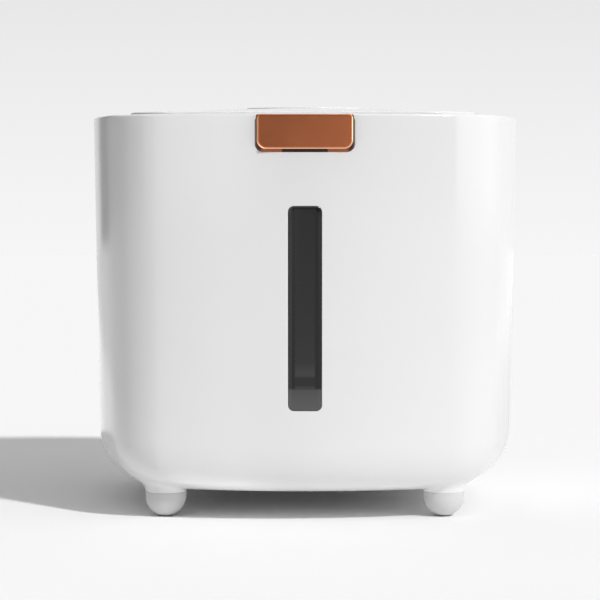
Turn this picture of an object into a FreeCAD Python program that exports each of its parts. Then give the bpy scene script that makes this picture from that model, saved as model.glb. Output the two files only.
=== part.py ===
import FreeCAD, Part
import math
import os
from FreeCAD import Vector

# Pet food storage container. Millimetres, +Z up, +X to the right, -Y to the front.
# The origin is on the floor, under the middle of the body.

# Body
body_width = 320.0           # across the rim, side to side and front to back
side_bow_radius = 335.0      # bow of each side, seen from above, at the rim
body_corner_radius = 60.0    # upright corners, seen from above, at the rim
rim_height = 290.0           # top of the rim above the floor
body_bottom = 20.4           # underside of the body above the floor
body_taper = 4.5             # how far each side leans in from the rim to the underside
bottom_round = 37.0          # rounding between the sides and the underside
rim_round = 1.8              # outer edge of the rim
wall = 3.0
floor_thickness = 3.4

# Feet
foot_inset = 59.0            # from the rim's outer edge to a foot's middle, both ways
foot_radius = 15.0           # where a foot meets its collar
foot_height = 18.1           # seam between a foot and its collar, above the floor
ball_radius = 14.8
ball_flat_height = 1.2       # where the ball is cut flat for its pad
collar_top_radius = 17.0     # foot collar where it leaves the body
collar_flare_height = 7.0
foot_screw_radius = 2.0
foot_screw_head_radius = 3.9
foot_screw_head_height = 3.4
foot_screw_length = 20.0     # under the head
foot_screw_seat = 7.0        # underside of the counterbore's shoulder above the floor
foot_boss_radius = 6.0
foot_boss_height = 8.0       # above the inner floor
pad_radius = 5.2
pad_thickness = 2.4
pad_edge = 0.8

# Window
window_width = 23.8
window_bottom = 81.5
window_top = 225.5
window_corner = 4.2
window_recess = 2.3          # depth of the recess that the pane lies in
pane_thickness = 1.7
pane_sink = 0.15             # pane's face below the body's face
pane_gap = 0.05              # between the pane and its gasket
slot_width = 14.0            # opening behind the pane
slot_bottom = 98.0
slot_top = 214.0
slot_corner = 3.0
window_pad_margin = 5.0      # thicker wall round the window
window_pad_depth = 2.2
window_cut_depth = 32.0      # reach of the window's cutters behind the front

# Lid, its recess and the mouth
lid_border = 30.0            # from the rim's outer edge to the lid's edge, at the middle of a side
lid_bow_radius = 1200.0
lid_corner_radius = 45.0
lid_rise = 2.4               # top of the lid above the rim
lid_plate = 2.5
lid_skirt = 2.5
lid_skirt_depth = 9.2        # from the lid's top to the skirt's lower edge
lid_edge_round = 1.2
lid_crown_height = 5.5          # dome on the lid's panel, at its middle
lid_crown_border = 5.0          # from the middle of a side to the dome's edge
lid_gap = 1.0                # between the lid and its recess
recess_depth = 8.5           # from the rim down to the land under the lid
mouth_inset = 18.0           # from the lid's outline to the mouth
throat_depth = 19.5          # from the land to the throat's lower edge
frame_plate = 2.5
frame_wall = 2.2
frame_skirt_depth = 13.5
seal_lip_width = 1.4
seal_lip_height = 0.8
seal_lip_inset = 13.8        # from the lid's outline to the lip's outer side

# Lid liner and seal
liner_plate = 2.0
liner_top_drop = 5.9         # from the lid's top to the liner flange's top
liner_margin = 1.3           # between the flange and the lid's skirt
liner_wall = 2.2
plug_gap = 3.0               # between the plug and the mouth
plug_depth = 12.5            # below the flange
seal_gap = 0.3               # between the seal's bead and the lip
seal_web = 1.2
seal_outer_inset = 11.8
bead_width = 3.0

# Hinge
hinge_from_edge = 5.5        # pin's axis in front of the lid's rear edge
hinge_barrel_radius = 3.6
hinge_pin_radius = 1.5
hinge_pin_length = 46.0
hinge_barrel_span = 160.0
hinge_block_offset = 48.0    # middle of each fixed knuckle from the middle of the lid
hinge_block_width = 16.0
hinge_side_gap = 0.6
hinge_front_gap = 1.9        # between a knuckle and the lid in front of it
hinge_relief_radius = 3.3    # hollow beside the barrel's ends for the turning lid
hinge_relief_span = 202.0
rear_skirt_cut = 192.0       # stretch of the lid's rear skirt that is cut short
rear_skirt_depth = 5.4

# Latch
latch_width = 70.0
latch_face_width = 67.4
latch_top_drop = 0.6         # latch's top below the rim
latch_height = 26.4
latch_face_height = 24.8
latch_proud = 4.7            # front plate in front of the body
latch_wall = 1.8
latch_bevel = 0.8
latch_lower_corner = 6.0
latch_upper_corner = 1.2
latch_body_gap = 0.3
latch_pin_behind = 0.5       # pin's axis behind the foremost point of the body
latch_pin_drop = 2.4         # pin's axis below the latch's top, also its barrel's radius
latch_pin_radius = 1.25
latch_back_relief = 2.8      # side walls stay this far in front of the pin's axis at the top
latch_relief_drop = 3.4
finger_slot_width = 32.0     # slot in the latch's lower wall
finger_slot_front = 2.1      # front of the slot in front of the body
finger_slot_lip = 0.9        # back of the slot in front of the body
tongue_width = 57.0
tongue_thickness = 3.0
lug_width = 52.0
ear_gap = 0.5
ear_width = 2.8
hook_plate = 1.8
hook_plate_height = 16.3
hook_lift = 4.2              # underside of the latch to the underside of the hook plate
hook_arm_width = 28.0
hook_reach = 9.2             # from the plate's front face to the hook's nose

# Latch pocket and catch
notch_width = 60.5           # opening in the rim behind the latch
notch_cover = 1.8            # the latch reaches this far below the opening
pocket_depth = 13.0
pocket_floor_drop = 1.4      # pocket's floor below the opening's lower edge
pocket_wall = 2.0
channel_gap = 1.0            # each side of the tongue
channel_depth = 5.0
clip_width = 24.0
clip_thickness = 0.6
clip_foot_top = 7.6          # top of the clip's foot below the rim
clip_foot_length = 7.0
clip_nose_reach = 8.4        # from the pocket's back wall to the nose
clip_nose_rise = 1.8         # nose above the hook
clip_tail_drop = 1.9         # tail below the nose
clip_tail_reach = 5.3
clip_hole_offset = 7.0
catch_screw_radius = 1.1
catch_screw_head_radius = 2.1
catch_screw_head_height = 1.3
catch_screw_length = 6.0
catch_boss_radius = 3.0

# Screws of the frame and of the liner
frame_screw_inset = 6.1          # in from the lid's corner, along the diagonal
frame_screw_radius = 1.5
frame_screw_head_radius = 3.2
frame_screw_head_height = 1.7
frame_screw_length = 14.0
frame_boss_radius = 5.0
frame_boss_height = 3.3
shell_boss_radius = 4.5
shell_boss_height = 20.0
gusset_thickness = 3.0
gusset_drop = 32.0
liner_screw_radius = 1.25
liner_screw_head_radius = 2.8
liner_screw_head_height = 1.9
liner_screw_length = 5.4
liner_screw_tip_gap = 0.5
liner_boss_radius = 3.2
liner_screw_inset = 7.4          # middle of each side, from the lid's outline
liner_corner_inset = 7.3         # in from the lid's corner, along the diagonal

# Date dial on the lid
dial_diameter = 90.0
dial_height = 5.8                # above the lid
bezel_base = 1.0
bezel_wall = 3.5
bezel_round = 1.0
hub_radius = 5.0
hub_boss_length = 8.0            # boss under the lid's plate
dial_gap = 0.3                   # round and between the discs
ring_drop = 0.6                  # day ring below the bezel's rim
disc_drop = 0.3                  # month disc below the bezel's rim
month_radius = 26.5
web_thickness = 1.0
month_ledge = 0.8                # month disc under the washer
hub_play = 0.2                   # washer above the month disc's ledge
day_dimple_depth = 1.0
day_dimple_ball = 15.6
grip_width = 10.0                # bar left across the month disc
grip_recess_radius = 22.0
grip_recess_depth = 1.3
cap_radius = 9.0
cap_thickness = 0.8
cap_rim = 2.5                    # left standing round the cap's seat
washer_radius = 7.5
washer_thickness = 0.3
dial_screw_radius = 1.5
dial_screw_head_radius = 3.0
dial_screw_head_height = 0.5
dial_screw_length = 9.0

# Clearances
fit_gap = 0.25               # between fixed shells that slip into each other
hole_gap = 0.03              # round a screw's shank and a fixed pin
running_gap = 0.05           # round a pin that a knuckle turns on
head_gap = 0.3               # round a sunk screw head

# Levels and places that follow
half_body = body_width / 2
half_lid = half_body - lid_border
foot_offset = half_body - foot_inset
floor_top = body_bottom + floor_thickness
lid_top = rim_height + lid_rise
lid_plate_bottom = lid_top - lid_plate
land_top = rim_height - recess_depth
land_bottom = land_top - frame_wall
throat_bottom = land_top - throat_depth
flange_top = lid_top - liner_top_drop
flange_bottom = flange_top - liner_plate
plug_bottom = flange_bottom - plug_depth
hinge_y = half_lid - hinge_from_edge
hinge_z = rim_height
latch_top = rim_height - latch_top_drop
latch_bottom = latch_top - latch_height
latch_front_y = -half_body - latch_proud
latch_inner_y = latch_front_y + latch_wall
latch_pin_y = -half_body + latch_pin_behind
latch_pin_z = latch_top - latch_pin_drop
notch_bottom = latch_bottom + notch_cover
pocket_floor = notch_bottom - pocket_floor_drop
pocket_back_y = -half_body + pocket_depth
tongue_bottom = latch_top - tongue_thickness
channel_floor = rim_height - channel_depth
dial_top = lid_top + dial_height
day_bottom = lid_top + bezel_base + dial_gap
web_top = day_bottom + web_thickness
month_bottom = web_top + dial_gap
hub_top = month_bottom + month_ledge + hub_play
body_plan = (half_body, side_bow_radius, body_corner_radius)
lid_plan = (half_lid, lid_bow_radius, lid_corner_radius)
foot_places = {
    "front_left": (-foot_offset, -foot_offset),
    "front_right": (foot_offset, -foot_offset),
    "rear_left": (-foot_offset, foot_offset),
    "rear_right": (foot_offset, foot_offset),
}
past = 1.0                   # how far a cutting solid runs past what it cuts


def polar(radius, degrees, z=0.0):
    """Point at a distance and a direction from the Z axis."""
    turn = math.radians(degrees)
    return Vector(radius * math.cos(turn), radius * math.sin(turn), z)


def corner_centre_offset(plan):
    """How far a corner arc's centre stands from the middle, both ways."""
    half, side_radius, corner_radius = plan
    behind = side_radius - half
    reach = side_radius - corner_radius
    return (math.sqrt(2 * reach ** 2 - behind ** 2) - behind) / 2


def corner_reach(plan):
    """Distance from the middle to the outline along a diagonal."""
    return corner_centre_offset(plan) * math.sqrt(2) + plan[2]


def bowed_square(plan, inset, z):
    """Closed outline of four bowed sides and four corner arcs, each tangent to the next.

    Every arc keeps its centre when the outline is inset, so insets are true offsets.
    """
    half, side_radius, corner_radius = plan
    behind = side_radius - half
    corner = corner_centre_offset(plan)
    sweep = math.degrees(math.atan2(corner, corner + behind))
    edges = []
    for quarter in range(4):
        facing = 90.0 * quarter - 90.0
        side_centre = polar(behind, facing + 180.0, z)
        corner_centre = polar(corner * math.sqrt(2), facing + 45.0, z)
        for centre, radius, start, end in (
            (side_centre, side_radius - inset, facing - sweep, facing + sweep),
            (corner_centre, corner_radius - inset, facing + sweep, facing + 90.0 - sweep),
        ):
            points = [centre + polar(radius, turn) for turn in (start, (start + end) / 2, end)]
            edges.append(Part.Arc(*points).toShape())
    return Part.Wire(edges)


def prism(plan, inset, z_low, z_high):
    """Upright solid on a bowed square."""
    return Part.Face(bowed_square(plan, inset, z_low)).extrude(Vector(0, 0, z_high - z_low))


def ring(plan, outer_inset, inner_inset, z_low, z_high):
    """Upright wall between two insets of one outline."""
    inside = prism(plan, inner_inset, z_low - past, z_high + past)
    return prism(plan, outer_inset, z_low, z_high).cut(inside)


def taper_at(z):
    """How far the body's sides have leaned in at a height."""
    return body_taper * (rim_height - z) / (rim_height - body_bottom)


def body_block(inset, z_low, z_high):
    """Solid with the body's leaning sides, inset all round, between two heights."""
    wires = [bowed_square(body_plan, inset + taper_at(z), z) for z in (z_low, z_high)]
    return Part.makeLoft(wires, True, True)


def box(x_low, x_high, y_low, y_high, z_low, z_high):
    """Box between two corners."""
    size = (x_high - x_low, y_high - y_low, z_high - z_low)
    return Part.makeBox(*size, Vector(x_low, y_low, z_low))


def rod(radius, x_low, x_high, y, z):
    """Cylinder along X."""
    return Part.makeCylinder(radius, x_high - x_low, Vector(x_low, y, z), Vector(1, 0, 0))


def post(radius, x, y, z_low, z_high):
    """Cylinder along Z."""
    return Part.makeCylinder(radius, z_high - z_low, Vector(x, y, z_low))


def edges_at(shape, z):
    """Edges that lie wholly at one height."""
    near = 0.01
    return [e for e in shape.Edges if abs(e.BoundBox.ZMin - z) < near and abs(e.BoundBox.ZMax - z) < near]


def upright_outline(width, z_low, z_high, upper_corner, lower_corner, y):
    """Rounded rectangle that stands in the XZ plane at a depth y."""
    half = width / 2
    corners = (
        (half - lower_corner, z_low + lower_corner, lower_corner, -90.0),
        (half - upper_corner, z_high - upper_corner, upper_corner, 0.0),
        (-half + upper_corner, z_high - upper_corner, upper_corner, 90.0),
        (-half + lower_corner, z_low + lower_corner, lower_corner, 180.0),
    )
    edges = []
    last_point = None
    first_point = None
    for x, z, radius, start in corners:
        points = []
        for turn in (start, start + 45.0, start + 90.0):
            swing = math.radians(turn)
            points.append(Vector(x + radius * math.cos(swing), y, z + radius * math.sin(swing)))
        if last_point is not None:
            edges.append(Part.makeLine(last_point, points[0]))
        else:
            first_point = points[0]
        edges.append(Part.Arc(*points).toShape())
        last_point = points[2]
    edges.append(Part.makeLine(last_point, first_point))
    return Part.Wire(edges)


def upright_plate(width, z_low, z_high, corner, y_low, y_high):
    """Rounded rectangle in the XZ plane, extruded along Y."""
    wire = upright_outline(width, z_low, z_high, corner, corner, y_low)
    return Part.Face(wire).extrude(Vector(0, y_high - y_low, 0))


def revolved(points, x, y):
    """Solid turned about an upright axis from (radius, z) points."""
    corners = [Vector(x + radius, y, z) for radius, z in points]
    face = Part.Face(Part.makePolygon(corners + corners[:1]))
    return face.revolve(Vector(x, y, 0), Vector(0, 0, 1), 360)


def strip_along(points, thickness, x_low, x_high):
    """Strip of even thickness, bent along (y, z) points, with round bends."""
    half = thickness / 2
    width = Vector(x_high - x_low, 0, 0)
    pieces = []
    for start, end in zip(points, points[1:]):
        run = Vector(0, end[0] - start[0], end[1] - start[1]).normalize()
        side = Vector(0, -run.z * half, run.y * half)
        first = Vector(x_low, *start)
        last = Vector(x_low, *end)
        corners = [first + side, last + side, last - side, first - side]
        pieces.append(Part.Face(Part.makePolygon(corners + corners[:1])).extrude(width))
    for y, z in points[1:-1]:
        pieces.append(rod(half, x_low, x_high, y, z))
    return pieces[0].fuse(pieces[1:])


def window_slab(near_inset, far_inset):
    """Layer of the body's front between two depths, over the height of the window."""
    low = window_bottom - 2 * window_pad_margin
    high = window_top + 2 * window_pad_margin
    layer = body_block(near_inset, low, high).cut(body_block(far_inset, low - past, high + past))
    front = box(-half_body, half_body, -half_body - past, 0, low, high)
    return layer.common(front)


def window_prism(width, z_low, z_high, corner):
    """Cutter through the front wall at the window."""
    y_high = -half_body + window_cut_depth
    return upright_plate(width, z_low, z_high, corner, -half_body - past, y_high)


def foot_collar(x, y):
    """Short flared collar under the body that a foot meets."""
    top = foot_height + collar_flare_height
    profile = [(0, foot_height), (foot_radius, foot_height), (collar_top_radius, top), (0, top)]
    return revolved(profile, x, y)


def frame_screw_places():
    """Middles of the four screws of the top frame, under the lid's corners."""
    distance = corner_reach(lid_plan) - frame_screw_inset
    return [polar(distance, 90.0 * quarter + 45.0) for quarter in range(4)]


def corner_support(centre):
    """Screw post in a corner of the body, with the gusset that joins it to the wall."""
    top = land_bottom - frame_boss_height
    distance = centre.Length
    column = post(shell_boss_radius, centre.x, centre.y, top - shell_boss_height, top)
    corners = [
        Vector(distance, -gusset_thickness / 2, top),
        Vector(distance + half_body, -gusset_thickness / 2, top),
        Vector(distance + half_body, -gusset_thickness / 2, top - gusset_drop - half_body),
        Vector(distance, -gusset_thickness / 2, top - shell_boss_height),
    ]
    gusset = Part.Face(Part.makePolygon(corners + corners[:1])).extrude(Vector(0, gusset_thickness, 0))
    gusset.rotate(Vector(0, 0, 0), Vector(0, 0, 1), math.degrees(math.atan2(centre.y, centre.x)))
    joined = column.fuse(gusset)
    return joined.common(body_block(wall / 2, body_bottom, rim_height))


def make_body_shell():
    """Moulded body: bowed walls, rounded underside, foot collars, window and latch notch."""
    outside = body_block(0, body_bottom, rim_height)
    outside = outside.makeFillet(bottom_round, edges_at(outside, body_bottom))
    outside = outside.makeFillet(rim_round, edges_at(outside, rim_height))
    inside = body_block(wall, floor_top, rim_height + past)
    inside = inside.makeFillet(bottom_round - wall, edges_at(inside, floor_top))
    window_pad = window_slab(wall / 2, wall + window_pad_depth).common(
        window_prism(
            window_width + 2 * window_pad_margin,
            window_bottom - window_pad_margin,
            window_top + window_pad_margin,
            window_corner + window_pad_margin,
        )
    )
    skin = outside
    for x, y in foot_places.values():
        skin = skin.fuse(foot_collar(x, y))
    shell = skin.cut(inside)
    additions = [window_pad]
    for x, y in foot_places.values():
        additions.append(post(foot_boss_radius, x, y, foot_height + past, floor_top + foot_boss_height))
    for centre in frame_screw_places():
        additions.append(corner_support(centre))
    shell = shell.fuse(additions)
    recess = window_prism(window_width, window_bottom, window_top, window_corner)
    recess = recess.cut(body_block(window_recess, 0, rim_height))
    slot = window_prism(slot_width, slot_bottom, slot_top, slot_corner)
    notch = box(-notch_width / 2, notch_width / 2, -half_body - past, pocket_back_y,
                notch_bottom, rim_height + past)
    cutters = [recess, slot, notch]
    for x, y in foot_places.values():
        top = foot_screw_seat + foot_screw_length + past
        cutters.append(post(foot_screw_radius + hole_gap, x, y, 0, top))
    for centre in frame_screw_places():
        bottom = land_top - frame_screw_length - past
        cutters.append(post(frame_screw_radius + hole_gap, centre.x, centre.y, bottom, rim_height))
    return shell.cut(cutters).removeSplitter()


def make_window_pane():
    """Smoked strip that lies in the recess of the front wall."""
    edge = fit_gap / 2
    outline = window_prism(window_width - 2 * edge, window_bottom + edge, window_top - edge,
                           window_corner - edge)
    return outline.common(window_slab(pane_sink, pane_sink + pane_thickness))


def make_window_gasket():
    """Black adhesive gasket between the pane and the floor of the recess."""
    outline = window_prism(window_width - 2 * fit_gap, window_bottom + fit_gap, window_top - fit_gap,
                           window_corner - fit_gap)
    layer = outline.common(window_slab(pane_sink + pane_thickness + pane_gap, window_recess))
    return layer.cut(window_prism(slot_width, slot_bottom, slot_top, slot_corner))


def make_foot(x, y):
    """Ball foot: a short cone that runs into a ball, cut flat at the bottom."""
    flat_radius = math.sqrt(ball_radius ** 2 - (ball_radius - ball_flat_height) ** 2)
    slope = math.radians(45)
    shoulder = Vector(x + ball_radius, y, ball_radius)
    edge = Vector(x + flat_radius, y, ball_flat_height)
    middle = Vector(x + ball_radius * math.sin(slope), y, ball_radius - ball_radius * math.cos(slope))
    seam = Vector(x + foot_radius, y, foot_height)
    edges = [
        Part.makeLine(Vector(x, y, ball_flat_height), edge),
        Part.Arc(edge, middle, shoulder).toShape(),
        Part.makeLine(shoulder, seam),
        Part.makeLine(seam, Vector(x, y, foot_height)),
        Part.makeLine(Vector(x, y, foot_height), Vector(x, y, ball_flat_height)),
    ]
    ball = Part.Face(Part.Wire(edges)).revolve(Vector(x, y, 0), Vector(0, 0, 1), 360)
    shank = post(foot_screw_radius + hole_gap, x, y, 0, foot_height + past)
    head = post(foot_screw_head_radius + head_gap, x, y, 0, foot_screw_seat)
    pad = post(pad_radius + fit_gap / 2, x, y, 0, pad_thickness)
    return ball.cut([shank, head, pad])


def make_foot_pad(x, y):
    """Soft round pad with a bevelled edge that covers the foot's screw."""
    return revolved(
        [(0, 0), (pad_radius - pad_edge, 0), (pad_radius, pad_edge), (pad_radius, pad_thickness),
         (0, pad_thickness)], x, y)


def make_foot_screws():
    """Pan-head screws that run up through the feet into the body."""
    screws = []
    for x, y in foot_places.values():
        seat = foot_screw_seat
        head = post(foot_screw_head_radius, x, y, seat - foot_screw_head_height, seat)
        screws.append(head.fuse(post(foot_screw_radius, x, y, seat, seat + foot_screw_length)))
    return Part.makeCompound(screws)


def hinge_x_ranges():
    """Where the two fixed knuckles stand along X."""
    for side in (-1, 1):
        middle = side * hinge_block_offset
        yield middle - hinge_block_width / 2, middle + hinge_block_width / 2


def make_top_frame():
    """Fixed ring in the body's mouth: border, lid recess, throat, seal lip, hinge blocks, pocket."""
    edge = wall + fit_gap
    recess = -lid_gap
    skirt_bottom = rim_height - frame_skirt_depth
    body_inside = body_block(edge, throat_bottom - 2 * past, rim_height)
    border = body_block(edge, rim_height - frame_plate, rim_height)
    skirt = body_block(edge, skirt_bottom, rim_height)
    skirt = skirt.cut(body_block(edge + frame_wall, skirt_bottom - past, rim_height - frame_plate))
    border = border.fuse(skirt).cut(prism(lid_plan, recess, skirt_bottom - past, rim_height + past))
    relief = rod(hinge_relief_radius, -hinge_relief_span / 2, hinge_relief_span / 2, hinge_y, hinge_z)
    border = border.fuse(ring(lid_plan, recess - frame_wall, recess, land_bottom, rim_height)).cut(relief)
    pieces = [
        ring(lid_plan, recess - frame_wall, mouth_inset, land_bottom, land_top),
        ring(lid_plan, mouth_inset - frame_wall, mouth_inset, throat_bottom, land_top),
        ring(lid_plan, seal_lip_inset, seal_lip_inset + seal_lip_width, land_bottom,
             land_top + seal_lip_height),
    ]
    for x_low, x_high in hinge_x_ranges():
        foot = box(x_low, x_high, hinge_y - hinge_barrel_radius, half_lid + lid_gap + past,
                   land_bottom, hinge_z)
        pieces.append(foot)
        pieces.append(rod(hinge_barrel_radius, x_low, x_high, hinge_y, hinge_z))
    for centre in frame_screw_places():
        boss_bottom = land_bottom - frame_boss_height
        pieces.append(post(frame_boss_radius, centre.x, centre.y, boss_bottom, land_top))
    pocket_half = notch_width / 2 - fit_gap
    channel_half = tongue_width / 2 + channel_gap
    pocket = box(-pocket_half - pocket_wall, pocket_half + pocket_wall, -half_body,
                 pocket_back_y + pocket_wall, pocket_floor - pocket_wall, rim_height)
    pieces.append(pocket.common(body_inside))
    channel = box(-channel_half - pocket_wall, channel_half + pocket_wall, pocket_back_y,
                  -half_lid - lid_gap, channel_floor - pocket_wall, rim_height)
    pieces.append(channel)
    for side in (-1, 1):
        pieces.append(
            Part.makeCylinder(catch_boss_radius, catch_screw_length, catch_screw_place(side, 0.0),
                              Vector(0, 1, 0)))
    frame = border.fuse(pieces)
    cutters = [
        box(-pocket_half, pocket_half, -half_body - past, pocket_back_y, pocket_floor, rim_height + past),
        box(-channel_half, channel_half, pocket_back_y - past, -half_lid + lid_skirt, channel_floor,
            rim_height + past),
        rod(hinge_pin_radius + hole_gap, -hinge_barrel_span / 2, hinge_barrel_span / 2, hinge_y, hinge_z),
    ]
    for centre in frame_screw_places():
        cutters.append(
            post(frame_screw_radius + hole_gap, centre.x, centre.y, land_bottom - frame_boss_height - past,
                 land_top))
        cutters.append(
            post(frame_screw_head_radius + head_gap, centre.x, centre.y,
                 land_top - frame_screw_head_height - head_gap, land_top + past))
    for side in (-1, 1):
        start = catch_screw_place(side, -past)
        cutters.append(
            Part.makeCylinder(catch_screw_radius + hole_gap, past + catch_screw_length - frame_wall / 2,
                              start, Vector(0, 1, 0)))
    return frame.cut(cutters)


def make_top_frame_screws():
    """Screws under the lid's corners that hold the frame to the posts of the body."""
    screws = []
    for centre in frame_screw_places():
        seat = land_top - frame_screw_head_height - head_gap
        head = post(frame_screw_head_radius, centre.x, centre.y, seat, seat + frame_screw_head_height)
        shank = post(frame_screw_radius, centre.x, centre.y, land_top - frame_screw_length, seat)
        screws.append(head.fuse(shank))
    return Part.makeCompound(screws)


def make_hinge_pins():
    """Two steel pins, one through each fixed knuckle and the barrels beside it."""
    pins = []
    for side in (-1, 1):
        middle = side * hinge_block_offset
        pins.append(rod(hinge_pin_radius, middle - hinge_pin_length / 2, middle + hinge_pin_length / 2,
                        hinge_y, hinge_z))
    return Part.makeCompound(pins)


def catch_screw_place(side, forward):
    """Point on the pocket's back wall where a screw of the clip goes in."""
    z = rim_height - clip_foot_top - clip_foot_length / 2
    return Vector(side * clip_hole_offset, pocket_back_y + forward, z)


def make_catch_clip():
    """Spring strip: a foot on the pocket's back wall, and a nose that stands over the hook."""
    face_y = pocket_back_y - clip_thickness / 2
    foot_high = rim_height - clip_foot_top
    foot_low = foot_high - clip_foot_length
    nose_z = hook_levels()[1] + clip_nose_rise
    points = [
        (face_y, foot_high),
        (face_y, foot_low),
        (pocket_back_y - clip_nose_reach, nose_z),
        (pocket_back_y - clip_tail_reach, nose_z - clip_tail_drop),
    ]
    strip = strip_along(points, clip_thickness, -clip_width / 2, clip_width / 2)
    holes = []
    for side in (-1, 1):
        start = catch_screw_place(side, -clip_thickness - past)
        holes.append(
            Part.makeCylinder(catch_screw_radius + hole_gap, clip_thickness + 2 * past, start,
                              Vector(0, 1, 0)))
    return strip.cut(holes)


def make_catch_screws():
    """Two screws that hold the clip to the pocket's back wall."""
    screws = []
    for side in (-1, 1):
        head_start = catch_screw_place(side, -clip_thickness - catch_screw_head_height)
        shank_start = catch_screw_place(side, -clip_thickness)
        shank_length = clip_thickness + catch_screw_length - frame_wall
        head = Part.makeCylinder(catch_screw_head_radius, catch_screw_head_height, head_start,
                                 Vector(0, 1, 0))
        shank = Part.makeCylinder(catch_screw_radius, shank_length, shank_start, Vector(0, 1, 0))
        screws.append(head.fuse(shank))
    return Part.makeCompound(screws)


def liner_screw_places():
    """Lid corners, and the middles of the front and the two sides."""
    inset = half_lid - liner_screw_inset
    places = [Vector(0, -inset, 0), Vector(inset, 0, 0), Vector(-inset, 0, 0)]
    for quarter in range(4):
        places.append(polar(corner_reach(lid_plan) - liner_corner_inset, 90.0 * quarter + 45.0))
    return places


def lid_crown():
    """Shallow dome on the lid's panel, with a round opening that the dial stands in."""
    reach = half_lid - lid_crown_border
    radius = (reach ** 2 + lid_crown_height ** 2) / (2 * lid_crown_height)
    middle = Vector(0, 0, lid_top + lid_crown_height - radius)
    panel = prism(lid_plan, lid_skirt, lid_top - lid_plate / 2, lid_top + lid_crown_height + past)
    dome = panel.common(Part.makeSphere(radius, middle))
    return dome.cut(post(dial_diameter / 2 + dial_gap, 0, 0, lid_top, lid_top + 2 * lid_crown_height))


def make_lid_cover():
    """Lid panel with its skirt, hinge barrels, screw bosses and the tongue to the latch."""
    skirt_bottom = lid_top - lid_skirt_depth
    outside = prism(lid_plan, 0, skirt_bottom, lid_top)
    outside = outside.makeFillet(lid_edge_round, edges_at(outside, lid_top))
    cover = outside.cut(prism(lid_plan, lid_skirt, skirt_bottom - past, lid_plate_bottom))
    rear_cut = box(-rear_skirt_cut / 2, rear_skirt_cut / 2, hinge_y - hinge_barrel_radius - hinge_front_gap,
                   half_lid + past, skirt_bottom - past, lid_top - rear_skirt_depth)
    cover = cover.cut(rear_cut)
    barrel = rod(hinge_barrel_radius, -hinge_barrel_span / 2, hinge_barrel_span / 2, hinge_y, hinge_z)
    tongue_end = latch_pin_y + latch_pin_drop + ear_gap
    additions = [
        barrel,
        box(-tongue_width / 2, tongue_width / 2, tongue_end, -half_lid + lid_skirt, tongue_bottom,
            latch_top),
        box(-lug_width / 2, lug_width / 2, latch_pin_y, tongue_end, tongue_bottom, latch_top),
        rod(latch_pin_drop, -lug_width / 2, lug_width / 2, latch_pin_y, latch_pin_z),
        post(hub_radius + lid_skirt, 0, 0, lid_plate_bottom - hub_boss_length, lid_plate_bottom),
        lid_crown(),
    ]
    for place in liner_screw_places():
        additions.append(post(liner_boss_radius, place.x, place.y, flange_top, lid_plate_bottom))
    cover = cover.fuse(additions)
    cutters = [
        rod(hinge_pin_radius + running_gap, -hinge_barrel_span / 2 - past, hinge_barrel_span / 2 + past,
            hinge_y, hinge_z),
        rod(latch_pin_radius + running_gap, -lug_width / 2 - past, lug_width / 2 + past, latch_pin_y,
            latch_pin_z),
        post(hub_radius + hole_gap, 0, 0, lid_plate_bottom, lid_top + past),
        post(dial_screw_radius + hole_gap, 0, 0, lid_plate_bottom - hub_boss_length + past, lid_top),
    ]
    for x_low, x_high in hinge_x_ranges():
        cutters.append(
            box(x_low - hinge_side_gap, x_high + hinge_side_gap,
                hinge_y - hinge_barrel_radius - hinge_front_gap, half_lid + past,
                skirt_bottom - past, hinge_z + hinge_barrel_radius + past))
    for place in liner_screw_places():
        cutters.append(
            post(liner_screw_radius + hole_gap, place.x, place.y, flange_top - past,
                 flange_bottom + liner_screw_length))
    return cover.cut(cutters).removeSplitter()


def make_lid_liner():
    """Inner tray: a flange under the cover and a shallow plug that drops into the mouth."""
    plug_inset = mouth_inset + plug_gap
    flange = prism(lid_plan, lid_skirt + liner_margin, flange_bottom, flange_top)
    rear_limit = hinge_y - hinge_barrel_radius - hinge_front_gap / 2
    flange = flange.cut(box(-half_lid, half_lid, rear_limit, half_lid, flange_bottom - past,
                            flange_top + past))
    plug = prism(lid_plan, plug_inset, plug_bottom, flange_top)
    hollow = prism(lid_plan, plug_inset + liner_wall, plug_bottom + liner_plate, flange_top + past)
    tray = flange.fuse(plug).cut(hollow)
    holes = []
    for place in liner_screw_places():
        holes.append(post(liner_screw_radius + hole_gap, place.x, place.y, flange_bottom - past,
                          flange_top + past))
    return tray.cut(holes).removeSplitter()


def make_lid_seal():
    """Silicone ring stretched round the plug, with a bead that stands over the throat's lip."""
    web_bottom = flange_bottom - seal_web
    bead_bottom = land_top + seal_lip_height + seal_gap
    lip_middle = seal_lip_inset + seal_lip_width / 2
    web = ring(lid_plan, seal_outer_inset, mouth_inset + plug_gap - seal_gap, web_bottom, flange_bottom)
    bead = ring(lid_plan, lip_middle - bead_width / 2, lip_middle + bead_width / 2, bead_bottom,
                web_bottom)
    return web.fuse(bead).removeSplitter()


def make_lid_screws():
    """Pan-head screws that hold the liner to the cover."""
    screws = []
    for place in liner_screw_places():
        head = post(liner_screw_head_radius, place.x, place.y, flange_bottom - liner_screw_head_height,
                    flange_bottom)
        shank = post(liner_screw_radius, place.x, place.y, flange_bottom,
                     flange_bottom + liner_screw_length - liner_screw_tip_gap)
        screws.append(head.fuse(shank))
    return Part.makeCompound(screws)


def latch_outline(y, width, height, inset):
    """Outline of the latch at a depth: nearly square above, well rounded below."""
    lower = latch_lower_corner - inset
    upper = max(latch_upper_corner - inset, latch_upper_corner / 2)
    return upright_outline(width - 2 * inset, latch_top - height + inset, latch_top - inset, upper,
                           lower, y)


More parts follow.
